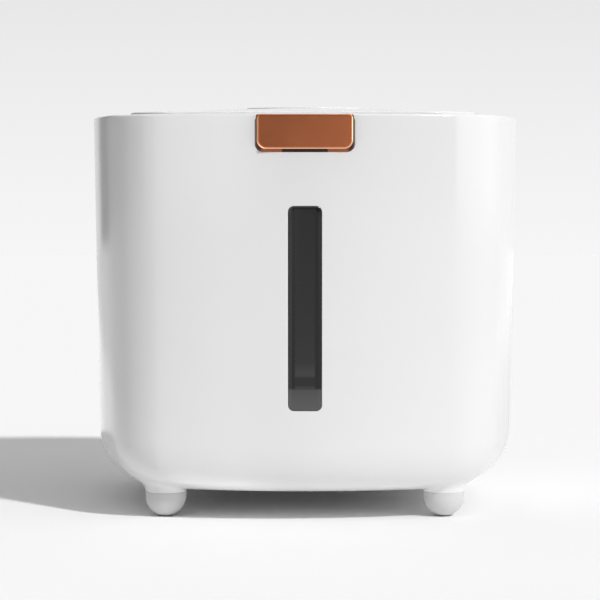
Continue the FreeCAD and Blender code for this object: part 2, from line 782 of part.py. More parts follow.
def make_latch_cover():
    """Latch cover: a tray with sloping sides, open to the back, with a finger slot below."""
    back_y = -half_body + latch_wall
    bevel_y = latch_front_y + latch_bevel
    outer = Part.makeLoft(
        [
            latch_outline(back_y, latch_width, latch_height, 0),
            latch_outline(-half_body, latch_width, latch_height, 0),
            latch_outline(bevel_y, latch_face_width, latch_face_height, 0),
            latch_outline(latch_front_y, latch_face_width - latch_bevel,
                          latch_face_height - latch_bevel / 2, latch_bevel / 4),
        ],
        True,
        True,
    )
    inner_share = (latch_proud - latch_wall) / (latch_proud - latch_bevel)
    inner_width = latch_width - inner_share * (latch_width - latch_face_width)
    inner_height = latch_height - inner_share * (latch_height - latch_face_height)
    inner = Part.makeLoft(
        [
            latch_outline(back_y + past, latch_width, latch_height, latch_wall),
            latch_outline(-half_body, latch_width, latch_height, latch_wall),
            latch_outline(latch_inner_y, inner_width, inner_height, latch_wall),
        ],
        True,
        True,
    )
    room_half = lug_width / 2 + ear_width + 2 * ear_gap
    lug_room = box(-room_half, room_half, latch_inner_y, back_y + past, latch_bottom + latch_height / 2,
                   latch_top + past)
    relief_y = latch_pin_y - latch_back_relief
    relief_low = latch_pin_z - latch_relief_drop
    relief_profile = [
        Vector(-half_body, relief_y, latch_top + past),
        Vector(-half_body, relief_y, latch_pin_z),
        Vector(-half_body, back_y + past, relief_low),
        Vector(-half_body, back_y + past, latch_top + past),
    ]
    relief_face = Part.Face(Part.makePolygon(relief_profile + relief_profile[:1]))
    relief = relief_face.extrude(Vector(body_width, 0, 0))
    slot = box(-finger_slot_width / 2, finger_slot_width / 2, -half_body - finger_slot_front,
               -half_body - finger_slot_lip, latch_bottom - past, latch_bottom + hook_lift - past)
    body_face = body_block(-latch_body_gap, latch_bottom - 2 * past, rim_height + past)
    return outer.cut([inner, lug_room, relief, slot, body_face]).removeSplitter()


def hook_levels():
    """Height of the hook plate's lower edge, and of the top of its arm."""
    low = latch_bottom + hook_lift
    return low, low + hook_plate


def make_latch_hook():
    """Inner plate of the latch: it carries the two ears on the pin, and the hook."""
    low, arm_top = hook_levels()
    front = latch_inner_y + fit_gap
    ear_inner = lug_width / 2 + ear_gap
    plate = box(-ear_inner - ear_width, ear_inner + ear_width, front, front + hook_plate, low,
                low + hook_plate_height)
    arm = box(-hook_arm_width / 2, hook_arm_width / 2, front, front + hook_reach, low, arm_top)
    pieces = [arm]
    for side in (-1, 1):
        x_low, x_high = sorted((side * ear_inner, side * (ear_inner + ear_width)))
        pieces.append(rod(latch_pin_drop, x_low, x_high, latch_pin_y, latch_pin_z))
        pieces.append(box(x_low, x_high, front, latch_pin_y, low + hook_plate_height - past, latch_pin_z))
    hole = rod(latch_pin_radius + hole_gap, -latch_width / 2, latch_width / 2, latch_pin_y, latch_pin_z)
    return plate.fuse(pieces).cut(hole).removeSplitter()


def make_latch_pin():
    """Steel pin held in the ears of the hook plate, through the lug of the lid's tongue."""
    half = lug_width / 2 + ear_gap + ear_width
    return rod(latch_pin_radius, -half, half, latch_pin_y, latch_pin_z)


def make_dial_bezel():
    """Fixed round rim of the date dial, with its base and the hub that the discs turn on."""
    radius = dial_diameter / 2
    body = post(radius, 0, 0, lid_top, dial_top)
    body = body.makeFillet(bezel_round, edges_at(body, dial_top))
    well = post(radius - bezel_wall, 0, 0, lid_top + bezel_base, dial_top + past)
    hub = post(hub_radius, 0, 0, lid_plate_bottom, hub_top)
    hole = post(dial_screw_radius + hole_gap, 0, 0, lid_plate_bottom - past, dial_top)
    return body.cut(well).fuse(hub).cut(hole).removeSplitter()


def make_day_disc():
    """Day ring with a thin web that reaches in to the hub, and a finger dimple."""
    outer = dial_diameter / 2 - bezel_wall - dial_gap
    disc = post(outer, 0, 0, day_bottom, dial_top - ring_drop)
    disc = disc.cut(post(month_radius, 0, 0, web_top, dial_top))
    disc = disc.cut(post(hub_radius + dial_gap, 0, 0, day_bottom - past, dial_top))
    dimple_y = (outer + month_radius) / 2
    dimple_z = dial_top - ring_drop - day_dimple_depth + day_dimple_ball
    return disc.cut(Part.makeSphere(day_dimple_ball, Vector(0, dimple_y, dimple_z)))


def make_month_disc():
    """Month disc with two scooped recesses that leave a grip bar, and a seat for its cap."""
    top = dial_top - disc_drop
    disc = post(month_radius - dial_gap, 0, 0, month_bottom, top)
    scoop = post(grip_recess_radius, 0, 0, top - grip_recess_depth, top + past)
    bar = box(-grip_width / 2, grip_width / 2, -month_radius, month_radius, month_bottom, top + 2 * past)
    seat = post(cap_radius + cap_rim, 0, 0, month_bottom, top + 2 * past)
    scoop = scoop.cut([bar, seat])
    cap_seat = post(cap_radius + fit_gap / 2, 0, 0, top - cap_thickness, top + past)
    washer_seat = post(washer_radius + dial_gap, 0, 0, month_bottom + month_ledge, top + past)
    bore = post(hub_radius + dial_gap, 0, 0, month_bottom - past, top)
    return disc.cut([scoop, cap_seat, washer_seat, bore]).removeSplitter()


def make_dial_cap():
    """Round cap over the dial's screw."""
    top = dial_top - disc_drop
    return post(cap_radius, 0, 0, top - cap_thickness, top)


def make_dial_washer():
    """Steel washer on the hub that holds both discs down."""
    washer = post(washer_radius, 0, 0, hub_top, hub_top + washer_thickness)
    return washer.cut(post(dial_screw_radius + hole_gap, 0, 0, hub_top - past, hub_top + past))


def make_dial_screw():
    """Screw through the washer and the hub into the boss under the lid."""
    seat = hub_top + washer_thickness
    head = post(dial_screw_head_radius, 0, 0, seat, seat + dial_screw_head_height)
    return head.fuse(post(dial_screw_radius, 0, 0, seat - dial_screw_length, seat))


def save(name, shape):
    """Write one piece, or one group of like pieces."""
    shape.exportStep(os.path.join("parts", name + ".step"))


os.makedirs("parts", exist_ok=True)
save("body_shell", make_body_shell())
save("window_pane", make_window_pane())
save("window_gasket", make_window_gasket())
for place, (foot_x, foot_y) in foot_places.items():
    save("foot_" + place, make_foot(foot_x, foot_y))
    save("foot_pad_" + place, make_foot_pad(foot_x, foot_y))
save("foot_screws", make_foot_screws())
save("top_frame", make_top_frame())
save("top_frame_screws", make_top_frame_screws())
save("hinge_pins", make_hinge_pins())
save("catch_clip", make_catch_clip())
save("catch_screws", make_catch_screws())
save("lid_cover", make_lid_cover())
save("lid_liner", make_lid_liner())
save("lid_seal", make_lid_seal())
save("lid_screws", make_lid_screws())
save("latch_cover", make_latch_cover())
save("latch_hook", make_latch_hook())
save("latch_pin", make_latch_pin())
save("dial_bezel", make_dial_bezel())
save("day_disc", make_day_disc())
save("month_disc", make_month_disc())
save("dial_cap", make_dial_cap())
save("dial_washer", make_dial_washer())
save("dial_screw", make_dial_screw())
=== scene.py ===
import math

import bmesh
import bpy
import numpy as np
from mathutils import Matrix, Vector


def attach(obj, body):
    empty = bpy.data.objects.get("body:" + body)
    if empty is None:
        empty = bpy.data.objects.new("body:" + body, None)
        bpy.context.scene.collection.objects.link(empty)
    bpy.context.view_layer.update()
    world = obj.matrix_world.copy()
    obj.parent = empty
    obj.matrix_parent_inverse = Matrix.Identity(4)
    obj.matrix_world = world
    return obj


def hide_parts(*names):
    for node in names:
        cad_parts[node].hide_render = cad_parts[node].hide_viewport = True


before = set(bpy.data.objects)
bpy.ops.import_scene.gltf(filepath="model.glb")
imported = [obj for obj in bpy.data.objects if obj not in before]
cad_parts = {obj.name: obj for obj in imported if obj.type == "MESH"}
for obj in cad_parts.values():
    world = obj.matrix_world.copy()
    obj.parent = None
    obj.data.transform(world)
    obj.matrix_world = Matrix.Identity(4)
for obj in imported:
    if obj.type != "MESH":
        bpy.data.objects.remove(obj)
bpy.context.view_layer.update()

bl_info = {
    "name": "Pet food storage container",
    "version": (1, 0, 0),
    "blender": (4, 5, 0),
    "location": "3D View > Sidebar > Container",
    "description": "Dresses the container: body, feet, window, lid with its date dial, latch and screws",
    "category": "Object",
}

MM = 0.001
FINISH = {}


# Sizes and colours that a user would change

class ContainerBodySizes(bpy.types.PropertyGroup):
    """Sizes of the moulded body, in millimetres."""

    width: bpy.props.FloatProperty(
        name="Width", description="Across the rim, side to side and front to back", default=320.0)
    side_bow: bpy.props.FloatProperty(
        name="Side bow", description="Radius of each bowed side, seen from above", default=335.0)
    corner: bpy.props.FloatProperty(
        name="Corner", description="Radius of the upright corners, seen from above", default=60.0)
    rim_height: bpy.props.FloatProperty(
        name="Rim height", description="Top of the rim above the floor", default=290.0)
    underside: bpy.props.FloatProperty(
        name="Underside", description="Underside of the body above the floor", default=20.4)
    taper: bpy.props.FloatProperty(
        name="Taper", description="How far each side leans in from rim to underside", default=4.5)
    bottom_round: bpy.props.FloatProperty(
        name="Bottom round", description="Rounding between the sides and the underside", default=37.0)
    rim_round: bpy.props.FloatProperty(
        name="Rim round", description="Rounding of the rim's outer edge", default=1.8)
    wall: bpy.props.FloatProperty(
        name="Wall", description="Thickness of the moulded wall", default=3.0)
    floor_wall: bpy.props.FloatProperty(
        name="Floor thickness", description="Thickness of the moulded floor", default=3.4)


class ContainerColours(bpy.types.PropertyGroup):
    """Colours of the container's materials, as sRGB hex values."""

    white: bpy.props.StringProperty(
        name="White", description="Moulded white plastic of the body and the lid", default="#f1f1f2")
    inner_white: bpy.props.StringProperty(
        name="Inner white", description="Satin white of the inner tray", default="#ececed")
    smoke: bpy.props.StringProperty(
        name="Smoke", description="Tint of the window's pane", default="#0b0b0c")
    copper: bpy.props.StringProperty(
        name="Copper brown", description="Metallised latch cover", default="#bd714b")


class ContainerStudio(bpy.types.PropertyGroup):
    """Camera, lights and surroundings."""

    lens: bpy.props.FloatProperty(
        name="Lens", description="Focal length in millimetres on a 36 mm sensor", default=141.0)
    distance: bpy.props.FloatProperty(
        name="Distance", description="Camera in front of the container's middle",
        default=1.8, unit="LENGTH")
    height: bpy.props.FloatProperty(
        name="Height", description="Camera above the floor", default=0.2427, unit="LENGTH")
    tilt: bpy.props.FloatProperty(
        name="Tilt", description="How far the camera looks down",
        default=math.radians(2.89), subtype="ANGLE")
    shift: bpy.props.FloatProperty(
        name="Shift", description="Sideways shift of the frame", default=-0.0082)
    key_strength: bpy.props.FloatProperty(
        name="Key light", description="Irradiance of the key light", default=1.85)
    key_rise: bpy.props.FloatProperty(
        name="Key height", description="Angle of the key light above the floor",
        default=math.radians(39.0), subtype="ANGLE")
    key_turn: bpy.props.FloatProperty(
        name="Key turn", description="Angle of the key light to the right of the front",
        default=math.radians(42.0), subtype="ANGLE")
    key_width: bpy.props.FloatProperty(
        name="Key width", description="Angle that the key light fills, for soft shadow edges",
        default=math.radians(4.0), subtype="ANGLE")
    top_fill: bpy.props.FloatProperty(
        name="Top fill", description="Radiance of the surroundings straight above", default=0.35)
    side_fill: bpy.props.FloatProperty(
        name="Side fill", description="Radiance of the surroundings on the right", default=0.3)
    front_fill: bpy.props.FloatProperty(
        name="Front fill", description="Radiance of the surroundings in front", default=0.09)
    even_fill: bpy.props.FloatProperty(
        name="Even fill", description="Radiance of the surroundings all round", default=0.02)


# Materials

MIX_A, MIX_B = 6, 7     # the colour inputs of a Mix node that mixes colours


def linear(hex_colour, tone=1.0):
    """sRGB hex colour, times a tone, as linear red, green, blue and alpha."""
    channels = np.array([int(hex_colour[i:i + 2], 16) / 255.0 for i in (1, 3, 5)])
    low = channels / 12.92
    high = ((channels + 0.055) / 1.055) ** 2.4
    return (*np.minimum(tone * np.where(channels <= 0.04045, low, high), 1.0).tolist(), 1.0)


def grey(level):
    """Linear grey of a level, which is above 1 where it stands for light."""
    return (level, level, level, 1.0)


def output_in_use(node):
    """First output of a node that its settings leave in use."""
    return next(socket for socket in node.outputs if socket.enabled)


def add_node(tree, kind, inputs=None, to=None, stops=(), **settings):
    """Add a node with its settings, links and, for a colour ramp, its stops.

    An input is a value, a node, or a node and the name of its output. to is a node and its input. A
    stop is a position and a grey level, an sRGB hex colour or a linear colour.
    """
    node = tree.nodes.new("ShaderNode" + kind)
    for name, value in settings.items():
        setattr(node, name, value)
    for index, (position, shade) in enumerate(stops):
        elements = node.color_ramp.elements
        if index == len(elements):
            elements.new(1.0)
        elements[index].position = position
        elements[index].color = (linear(shade) if isinstance(shade, str) else
                                 shade if isinstance(shade, tuple) else grey(shade))
    for name, value in (inputs or {}).items():
        if isinstance(value, bpy.types.Node):
            tree.links.new(output_in_use(value), node.inputs[name])
        elif isinstance(value, tuple) and isinstance(value[0], bpy.types.Node):
            tree.links.new(value[0].outputs[value[1]], node.inputs[name])
        else:
            node.inputs[name].default_value = value
    if to:
        tree.links.new(output_in_use(node), to[0].inputs[to[1]])
    return node


def new_material(name, colour, roughness, **constants):
    """Principled material with its constant sockets set.

    Returns the material, its tree, its shader and the Object coordinates that its pattern lies on.
    """
    material = bpy.data.materials.new(name)
    material.use_nodes = True
    tree = material.node_tree
    shader = tree.nodes["Principled BSDF"]
    shader.inputs["Base Color"].default_value = linear(colour)
    shader.inputs["Roughness"].default_value = roughness
    for socket, value in constants.items():
        shader.inputs[socket.replace("_", " ")].default_value = value
    return material, tree, shader, (add_node(tree, "TexCoord"), "Object")


def waves_per_metre(pitch_mm):
    """Noise scale on Object coordinates whose features are about one pitch apart."""
    return 1.0 / (pitch_mm * MM)


def moulded_plastic(name, colour, roughness, grain_mm, grain_strength):
    """Injection-moulded plastic: even colour that drifts by a percent, gloss that varies a little with
    the flow of the melt, and the faint ripple of a polished or a spark-eroded mould."""
    material, tree, shader, place = new_material(name, colour, roughness, IOR=1.5)
    flow = add_node(tree, "TexNoise", {
        "Vector": place, "Scale": waves_per_metre(90.0), "Detail": 3.0})
    add_node(tree, "ValToRGB", {"Fac": flow}, (shader, "Base Color"),
             [(0.3, linear(colour, 0.985)), (0.7, colour)])
    add_node(tree, "MapRange", {
        "Value": flow, "To Min": roughness * 0.88, "To Max": roughness * 1.12}, (shader, "Roughness"))
    grain = add_node(tree, "TexNoise", {
        "Vector": place, "Scale": waves_per_metre(grain_mm), "Detail": 1.5})
    add_node(tree, "Bump", {"Height": grain, "Strength": grain_strength, "Distance": 0.03 * MM},
             (shader, "Normal"))
    return material


def brushed_metal(name, colour, roughness, pitch_mm, axis):
    """Drawn or turned steel: fine lines about one pitch apart that run along an axis."""
    material, tree, shader, place = new_material(
        name, colour, roughness, Metallic=1.0, Anisotropic=0.4)
    stretch = Vector([waves_per_metre(pitch_mm)] * 3)
    stretch["XYZ".index(axis)] *= 0.02
    along = add_node(tree, "Mapping", {"Vector": place, "Scale": stretch})
    lines = add_node(tree, "TexNoise", {"Vector": along, "Scale": 1.0, "Detail": 2.0})
    add_node(tree, "MapRange", {
        "Value": lines, "To Min": roughness * 0.7, "To Max": roughness * 1.4}, (shader, "Roughness"))
    add_node(tree, "Bump", {"Height": lines, "Strength": 0.25, "Distance": 0.02 * MM},
             (shader, "Normal"))
    return material


def copper_plate(name, colour):
    """Metallised ABS in satin copper: a metal's coloured reflection under a thin clear lacquer, with
    painted light and shade:
    paler towards the right, a painted highlight along the bevel of the front plate except at its top,
    and painted shade along that top and on the sloping walls, darkest across the finger slot. Its flakes
    are 0.3 mm across, drawn coarser than the real ones so that they show."""
    material, tree, shader, place = new_material(
        name, colour, 0.24, Metallic=1.0, Coat_Weight=0.08, Coat_Roughness=0.1)
    where = add_node(tree, "SeparateXYZ", {0: place})
    # Painted light: the plate is paler towards the right.
    sideways = add_node(tree, "MapRange", {
        "Value": (where, "X"), "From Min": -34.0 * MM, "From Max": 34.0 * MM})
    plate = add_node(tree, "ValToRGB", {"Fac": sideways}, stops=[
        (share, linear(colour, tone)) for share, tone in ((0.0, 0.84), (0.5, 1.05), (1.0, 1.4))])
    # Painted highlight in pale copper along the bevel of the front plate, but not along its top, which
    # gets painted shade instead.
    on_edge, on_wall, below_top = [
        add_node(tree, "MapRange", {
            "Value": (where, axis), "From Min": near * MM, "From Max": far * MM},
            interpolation_type="SMOOTHSTEP")
        for axis, near, far in (("Y", -164.5, -164.42), ("Y", -164.05, -163.9), ("Z", 288.4, 286.8))]
    painted_highlight_mask = add_node(tree, "Math", {0: on_edge, 1: below_top}, operation="MULTIPLY")
    with_painted_highlight = add_node(tree, "Mix", {"Factor": painted_highlight_mask, MIX_A: plate, MIX_B: linear("#ffcda6")},
                      data_type="RGBA")
    middle = add_node(tree, "Math", {0: (where, "X")}, operation="ABSOLUTE")
    outwards = add_node(tree, "MapRange", {"Value": middle, "From Max": 35.0 * MM})
    # Painted shade on the sloping walls: darkest across the finger slot's width, dark at the outer ends,
    # mid brown between.
    walls = add_node(tree, "ValToRGB", {"Fac": outwards}, stops=[
        (0.455, "#300a00"), (0.46, "#9a5632"), (0.83, "#9a5632"), (0.9, "#451a08")])
    painted_shade_top_edge = add_node(tree, "Math", {0: on_edge, 1: painted_highlight_mask}, operation="SUBTRACT")
    painted_shade_mask = add_node(tree, "Math", {0: on_wall, 1: painted_shade_top_edge}, operation="MAXIMUM")
    add_node(tree, "Mix", {"Factor": painted_shade_mask, MIX_A: with_painted_highlight, MIX_B: walls}, (shader, "Base Color"),
             data_type="RGBA")
    flakes = add_node(tree, "TexVoronoi", {"Vector": place, "Scale": waves_per_metre(0.3)})
    haze = add_node(tree, "TexNoise", {
        "Vector": place, "Scale": waves_per_metre(25.0), "Detail": 3.0})
    add_node(tree, "MapRange", {"Value": haze, "To Min": 0.2, "To Max": 0.27}, (shader, "Roughness"))
    add_node(tree, "Bump", {"Height": flakes, "Strength": 0.05, "Distance": 0.01 * MM},
             (shader, "Normal"))
    return material


def smoked_sheet(name, colour):
    """Smoked polycarbonate, polished and nearly black. Behind its margins lies black foam, which makes
    them darkest, and they grow darker towards the top; behind the slot, painted light stands for the
    inside of the body seen through the sheet, as a paler haze with lighter and darker bands, and the
    lower end, below the slot, is paler still, painted light for the white wall behind the sheet."""
    material, tree, shader, place = new_material(name, colour, 0.07, IOR=1.45)
    where = add_node(tree, "SeparateXYZ", {0: place})
    sideways = add_node(tree, "Math", {0: (where, "X")}, operation="ABSOLUTE")
    on_slot = add_node(tree, "MapRange", {
        "Value": sideways, "From Min": 6.4 * MM, "From Max": 7.6 * MM, "To Min": 1.0, "To Max": 0.0},
        interpolation_type="SMOOTHSTEP")
    height = add_node(tree, "MapRange", {
        "Value": (where, "Z"), "From Min": 80.0 * MM, "From Max": 230.0 * MM})
    # Painted light: the lower end is paler, standing for the lit white wall behind it.
    painted_light_lower_end = [(0.0, "#595959"), (0.06, "#525252"), (0.108, "#494949")]
    # Painted light and shade behind the slot: a light line at its lower edge, darker and lighter bands
    # above it, then a dim haze that fades upwards.
    haze = add_node(tree, "ValToRGB", {"Fac": height}, stops=painted_light_lower_end + [
        (0.116, "#303030"), (0.122, "#353535"), (0.13, "#1f1f1f"), (0.165, "#1f1f1f"),
        (0.178, "#383838"), (0.205, "#353535"), (0.24, "#272727"), (0.5, "#1e1e1e"),
        (1.0, linear(colour, 2.0))])
    # The margins: the lower end's painted light, then darker towards the top.
    margin = add_node(tree, "ValToRGB", {"Fac": height}, stops=painted_light_lower_end + [
        (share, linear(colour, tone)) for share, tone in ((0.118, 1.8), (0.5, 1.2), (1.0, 0.7))])
    add_node(tree, "Mix", {"Factor": on_slot, MIX_A: margin, MIX_B: haze}, (shader, "Base Color"),
             data_type="RGBA")
    ripple = add_node(tree, "TexNoise", {
        "Vector": place, "Scale": waves_per_metre(18.0), "Detail": 2.0})
    add_node(tree, "MapRange", {"Value": ripple, "To Min": 0.05, "To Max": 0.09}, (shader, "Roughness"))
    add_node(tree, "Bump", {"Height": ripple, "Strength": 0.03, "Distance": 0.05 * MM},
             (shader, "Normal"))
    return material


def soft_rubber(name, colour, roughness, grain_mm, **constants):
    """Rubber, silicone or foam: dull, with a fine pored skin."""
    material, tree, shader, place = new_material(name, colour, roughness, IOR=1.45, **constants)
    pores = add_node(tree, "TexVoronoi", {"Vector": place, "Scale": waves_per_metre(grain_mm)})
    add_node(tree, "ValToRGB", {"Fac": pores}, (shader, "Base Color"),
             [(0.0, linear(colour, 0.85)), (0.6, colour)])
    add_node(tree, "Bump", {"Height": pores, "Strength": 0.2, "Distance": 0.05 * MM},
             (shader, "Normal"))
    return material


def make_materials(colours):
    """Every finish of the container, by a short name."""
    return {
        # From a polished mould: the studio shows in it as soft upright bands.
        "gloss": moulded_plastic("glossy white ABS", colours.white, 0.12, 1.8, 0.03),
        "trim": moulded_plastic("glossy white ABS trim", colours.white, 0.16, 1.8, 0.03),
        # From a spark-eroded mould: fine-grained, with highlights that spread.
        "satin": moulded_plastic("satin white ABS", colours.inner_white, 0.42, 0.7, 0.12),
        "foot": moulded_plastic("satin white ABS of the feet", "#d9d9da", 0.5, 0.8, 0.06),
        # Stands 0.03 mm proud of the rings, and is duller than they are.
        "ink": moulded_plastic("pad-printed grey ink", "#606367", 0.5, 0.4, 0.1),
        # Its glass fibres show as a dry, slightly rough skin.
        "hook": moulded_plastic("glass-filled nylon", "#2b1d16", 0.5, 0.6, 0.2),
        "copper": copper_plate("copper metallised ABS", colours.copper),
        "smoke": smoked_sheet("smoked polycarbonate", colours.smoke),
        # Cut cells swallow nearly all light.
        "foam": soft_rubber("closed-cell foam", "#101011", 0.85, 0.4),
        # Light goes 2 mm into it, which makes its edges glow a little.
        "silicone": soft_rubber("milky silicone", "#dfe2e4", 0.45, 0.9, Subsurface_Weight=0.3,
                                Subsurface_Scale=2.0 * MM),
        "pad": soft_rubber("thermoplastic rubber", "#8d8e90", 0.75, 0.5),
        # Bluish and a little cloudy, with turned lines.
        "zinc": brushed_metal("zinc-plated steel", "#b9bcc0", 0.32, 0.25, "Z"),
        # Bright, with lines along the pin.
        "steel": brushed_metal("ground stainless steel", "#c9cacc", 0.22, 0.2, "X"),
        # Darker than the pins, with lines from the rollers.
        "spring": brushed_metal("rolled spring steel", "#a9abae", 0.28, 0.3, "X"),
    }


FINISHES = {
    "body_shell": "gloss", "top_frame": "trim", "lid_cover": "gloss", "dial_bezel": "gloss",
    "day_disc": "gloss", "month_disc": "gloss", "dial_cap": "gloss", "lid_liner": "satin",
    "window_pane": "smoke", "window_gasket": "foam", "lid_seal": "silicone",
    "latch_cover": "copper", "latch_hook": "hook", "latch_pin": "steel", "hinge_pins": "steel",
    "dial_washer": "steel", "catch_clip": "spring", "dial_screw": "zinc", "lid_screws": "zinc",
    "top_frame_screws": "zinc", "catch_screws": "zinc", "foot_screws": "zinc",
}


class CONTAINER_OT_finishes(bpy.types.Operator):
    """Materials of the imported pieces"""

    bl_idname = "container.finishes"
    bl_label = "Finishes"

    def execute(self, context):
        FINISH.update(make_materials(context.scene.container_colours))
        for name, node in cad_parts.items():
            finish = FINISHES.get(name, "pad" if name.startswith("foot_pad") else "gloss")
            for slot in node.material_slots:
                slot.material = FINISH[finish]
        return {"FINISHED"}


# Surfaces

def full_turn(steps):
    """Even angles all the way round."""
    return np.arange(steps) * 2 * np.pi / steps


def around_line(x, y, radius, angle, z):
    """Points about an upright line: (x + radius * cos(angle), y + radius * sin(angle), z)."""
    across = x + radius * np.cos(angle)
    return np.stack([across, y + radius * np.sin(angle), np.broadcast_to(z, across.shape)], -1)


def grid(points, closed=True, keep=None):
    """Surface through an array of points, rows by columns, less the cells that keep leaves out.

    A cell is the quad between neighbouring rows and columns. A closed grid joins its last column to
    its first.
    """
    rows, columns = points.shape[:2]
    row, column = np.meshgrid(np.arange(rows - 1), np.arange(columns if closed else columns - 1),
                              indexing="ij")
    beside = (column + 1) % columns
    faces = np.stack([row * columns + column, row * columns + beside,
                      (row + 1) * columns + beside, (row + 1) * columns + column], -1)
    faces = faces[keep] if keep is not None else faces.reshape(-1, 4)
    return points.reshape(-1, 3), faces.tolist()


def flat_face(outline):
    """Flat face inside a closed line."""
    return outline, [list(range(len(outline)))]


def prism(ends):
    """Closed solid between two outlines of as many points."""
    count = len(ends[0])
    faces = [list(range(count))[::-1], list(range(count, 2 * count))]
    faces += [[i, (i + 1) % count, (i + 1) % count + count, i + count] for i in range(count)]
    return np.concatenate(ends), faces


def turned(profile, centre=(0.0, 0.0), steps=64):
    """Surface of revolution about an upright line: a point (r, z) of the profile goes round a circle."""
    radius, height = np.array(profile, float).T[..., None]
    return grid(around_line(*centre, radius, full_turn(steps), height))


def arc(centre, radius, start, end, steps):
    """Points of an arc in a plane, from one angle in degrees to another."""
    angle = np.radians(np.linspace(start, end, steps + 1))
    return np.stack([centre[0] + radius * np.cos(angle), centre[1] + radius * np.sin(angle)], 1)


def rounded_path(width, low, high, lower_corner, upper_corner, cells):
    """Closed rounded rectangle in x and z, from the middle of its lower left corner, anticlockwise.

    Each corner is an arc of 90 degrees, and the runs between the arcs are divided evenly; cells gives
    the numbers of steps in half an arc, along the bottom or top, and along a side.
    """
    half_arc, across, upward = cells
    x = width / 2
    corners = ((-x + lower_corner, low + lower_corner, lower_corner, 180),
               (x - lower_corner, low + lower_corner, lower_corner, 270),
               (x - upper_corner, high - upper_corner, upper_corner, 0),
               (-x + upper_corner, high - upper_corner, upper_corner, 90))
    rounds = [arc((cx, cz), r, start, start + 90, 2 * half_arc) for cx, cz, r, start in corners]
    pieces = []
    for here, following, steps in zip(rounds, rounds[1:] + rounds[:1], (across, upward) * 2):
        share = np.linspace(0, 1, steps + 1)[1:-1, None]
        pieces += [here, here[-1] + share * (following[0] - here[-1])]
    return np.roll(np.concatenate(pieces), -half_arc, axis=0)


def block_border(points, rows, columns):
    """Border of a block of cells of a grid, from its lower left corner, anticlockwise."""
    r0, r1 = rows
    c0, c1 = columns
    return np.concatenate([points[r0, c0:c1], points[r0:r1, c1], points[r1, c1:c0:-1],
                           points[r1:r0:-1, c0]])


def cells_outside(points, blocks):
    """Mask of a closed grid's cells that leaves out blocks, each given by its rows and columns."""
    keep = np.ones((len(points) - 1, points.shape[1]), bool)
    for rows, columns in blocks:
        keep[rows[0]:rows[1], columns[0]:columns[1]] = False
    return keep


def make_piece(name, surfaces, body, nodes, finish, sharp=35.0):
    """Join surfaces given in millimetres into one piece that rides on a body and replaces nodes."""
    vertices, faces = [], []
    count = 0
    for points, polygons in surfaces:
        vertices.append(points)
        faces += [[index + count for index in polygon] for polygon in polygons]
        count += len(points)
    mesh = bpy.data.meshes.new(name)
    mesh.from_pydata((np.concatenate(vertices) * MM).tolist(), [], faces)
    shape = bmesh.new()
    shape.from_mesh(mesh)
    bmesh.ops.remove_doubles(shape, verts=shape.verts, dist=0.002 * MM)
    bmesh.ops.dissolve_degenerate(shape, edges=shape.edges, dist=0.001 * MM)
    bmesh.ops.recalc_face_normals(shape, faces=shape.faces)
    shape.to_mesh(mesh)
    shape.free()
    mesh.polygons.foreach_set("use_smooth", np.ones(len(mesh.polygons), bool))
    mesh.set_sharp_from_angle(angle=math.radians(sharp))
    piece = bpy.data.objects.new(name, mesh)
    bpy.context.scene.collection.objects.link(piece)
    mesh.materials.append(FINISH[finish])
    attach(piece, body)
    if nodes:
        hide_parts(*nodes)
    return piece


# Outline of the body and of the lid, seen from above

def corner_start(half, bow, corner):
    """Where a bowed side gives way to a corner: behind, offset and sweep.

    The side's centre lies behind the middle by bow - half. The corner's centre lies off the middle by
    offset, in x and in y. The two centres are bow - corner apart, which gives the offset, and the
    direction from one to the other gives the sweep of half a side.
    """
    behind, reach = bow - half, bow - corner
    offset = (math.sqrt(2 * reach ** 2 - behind ** 2) - behind) / 2
    return behind, offset, math.atan2(offset, offset + behind)


def outline_columns(half, bow, corner, front_angles=None):
    """Bowed square as columns round it: centre, radius and direction of each.

    A side is an arc of the bow's radius and a corner an arc of its own; they meet where both have the
    same direction. The front side can have its own angles.
    """
    behind, offset, sweep = corner_start(half, bow, corner)
    side = np.linspace(-sweep, sweep, 37)
    round_off = np.linspace(sweep, np.pi / 2 - sweep, 25)
    centres, radii, angles = [], [], []
    for quarter in range(4):
        facing = (quarter - 1) * np.pi / 2
        along = side if quarter or front_angles is None else front_angles
        for turn, centre, radius in (
                (along, -behind * np.array([math.cos(facing), math.sin(facing)]), bow),
                (round_off, offset * math.sqrt(2) * np.array(
                    [math.cos(facing + np.pi / 4), math.sin(facing + np.pi / 4)]), corner)):
            steps = len(turn) - 1
            centres.append(np.tile(centre, (steps, 1)))
            radii.append(np.full(steps, radius))
            angles.append(facing + turn[:-1])
    return np.concatenate(centres), np.concatenate(radii), np.concatenate(angles)


def around(columns, profile):
    """Carry a profile of (inset, z) points round the outline: centre + (radius - inset) * direction."""
    centres, radii, angles = columns
    inset, z = np.array(profile, float).T[..., None]
    return around_line(*centres.T, radii - inset, angles, z)


def to_the_middle(row, shares):
    """Rows that shrink a row towards the middle of the outline, or grow it from there."""
    factors = np.array([[share, share, 1.0] for share in shares])
    return row[None] * factors[:, None]


# Body

# Window, and the slot behind it: width, lower edge, upper edge and corner radius
WINDOW = (23.8, 81.5, 225.5, 4.2)
SLOT = (14.0, 98.0, 214.0, 3.0)
# Opening behind the latch: half width and lower edge
NOTCH_HALF, NOTCH_LOW = 30.25, 264.8
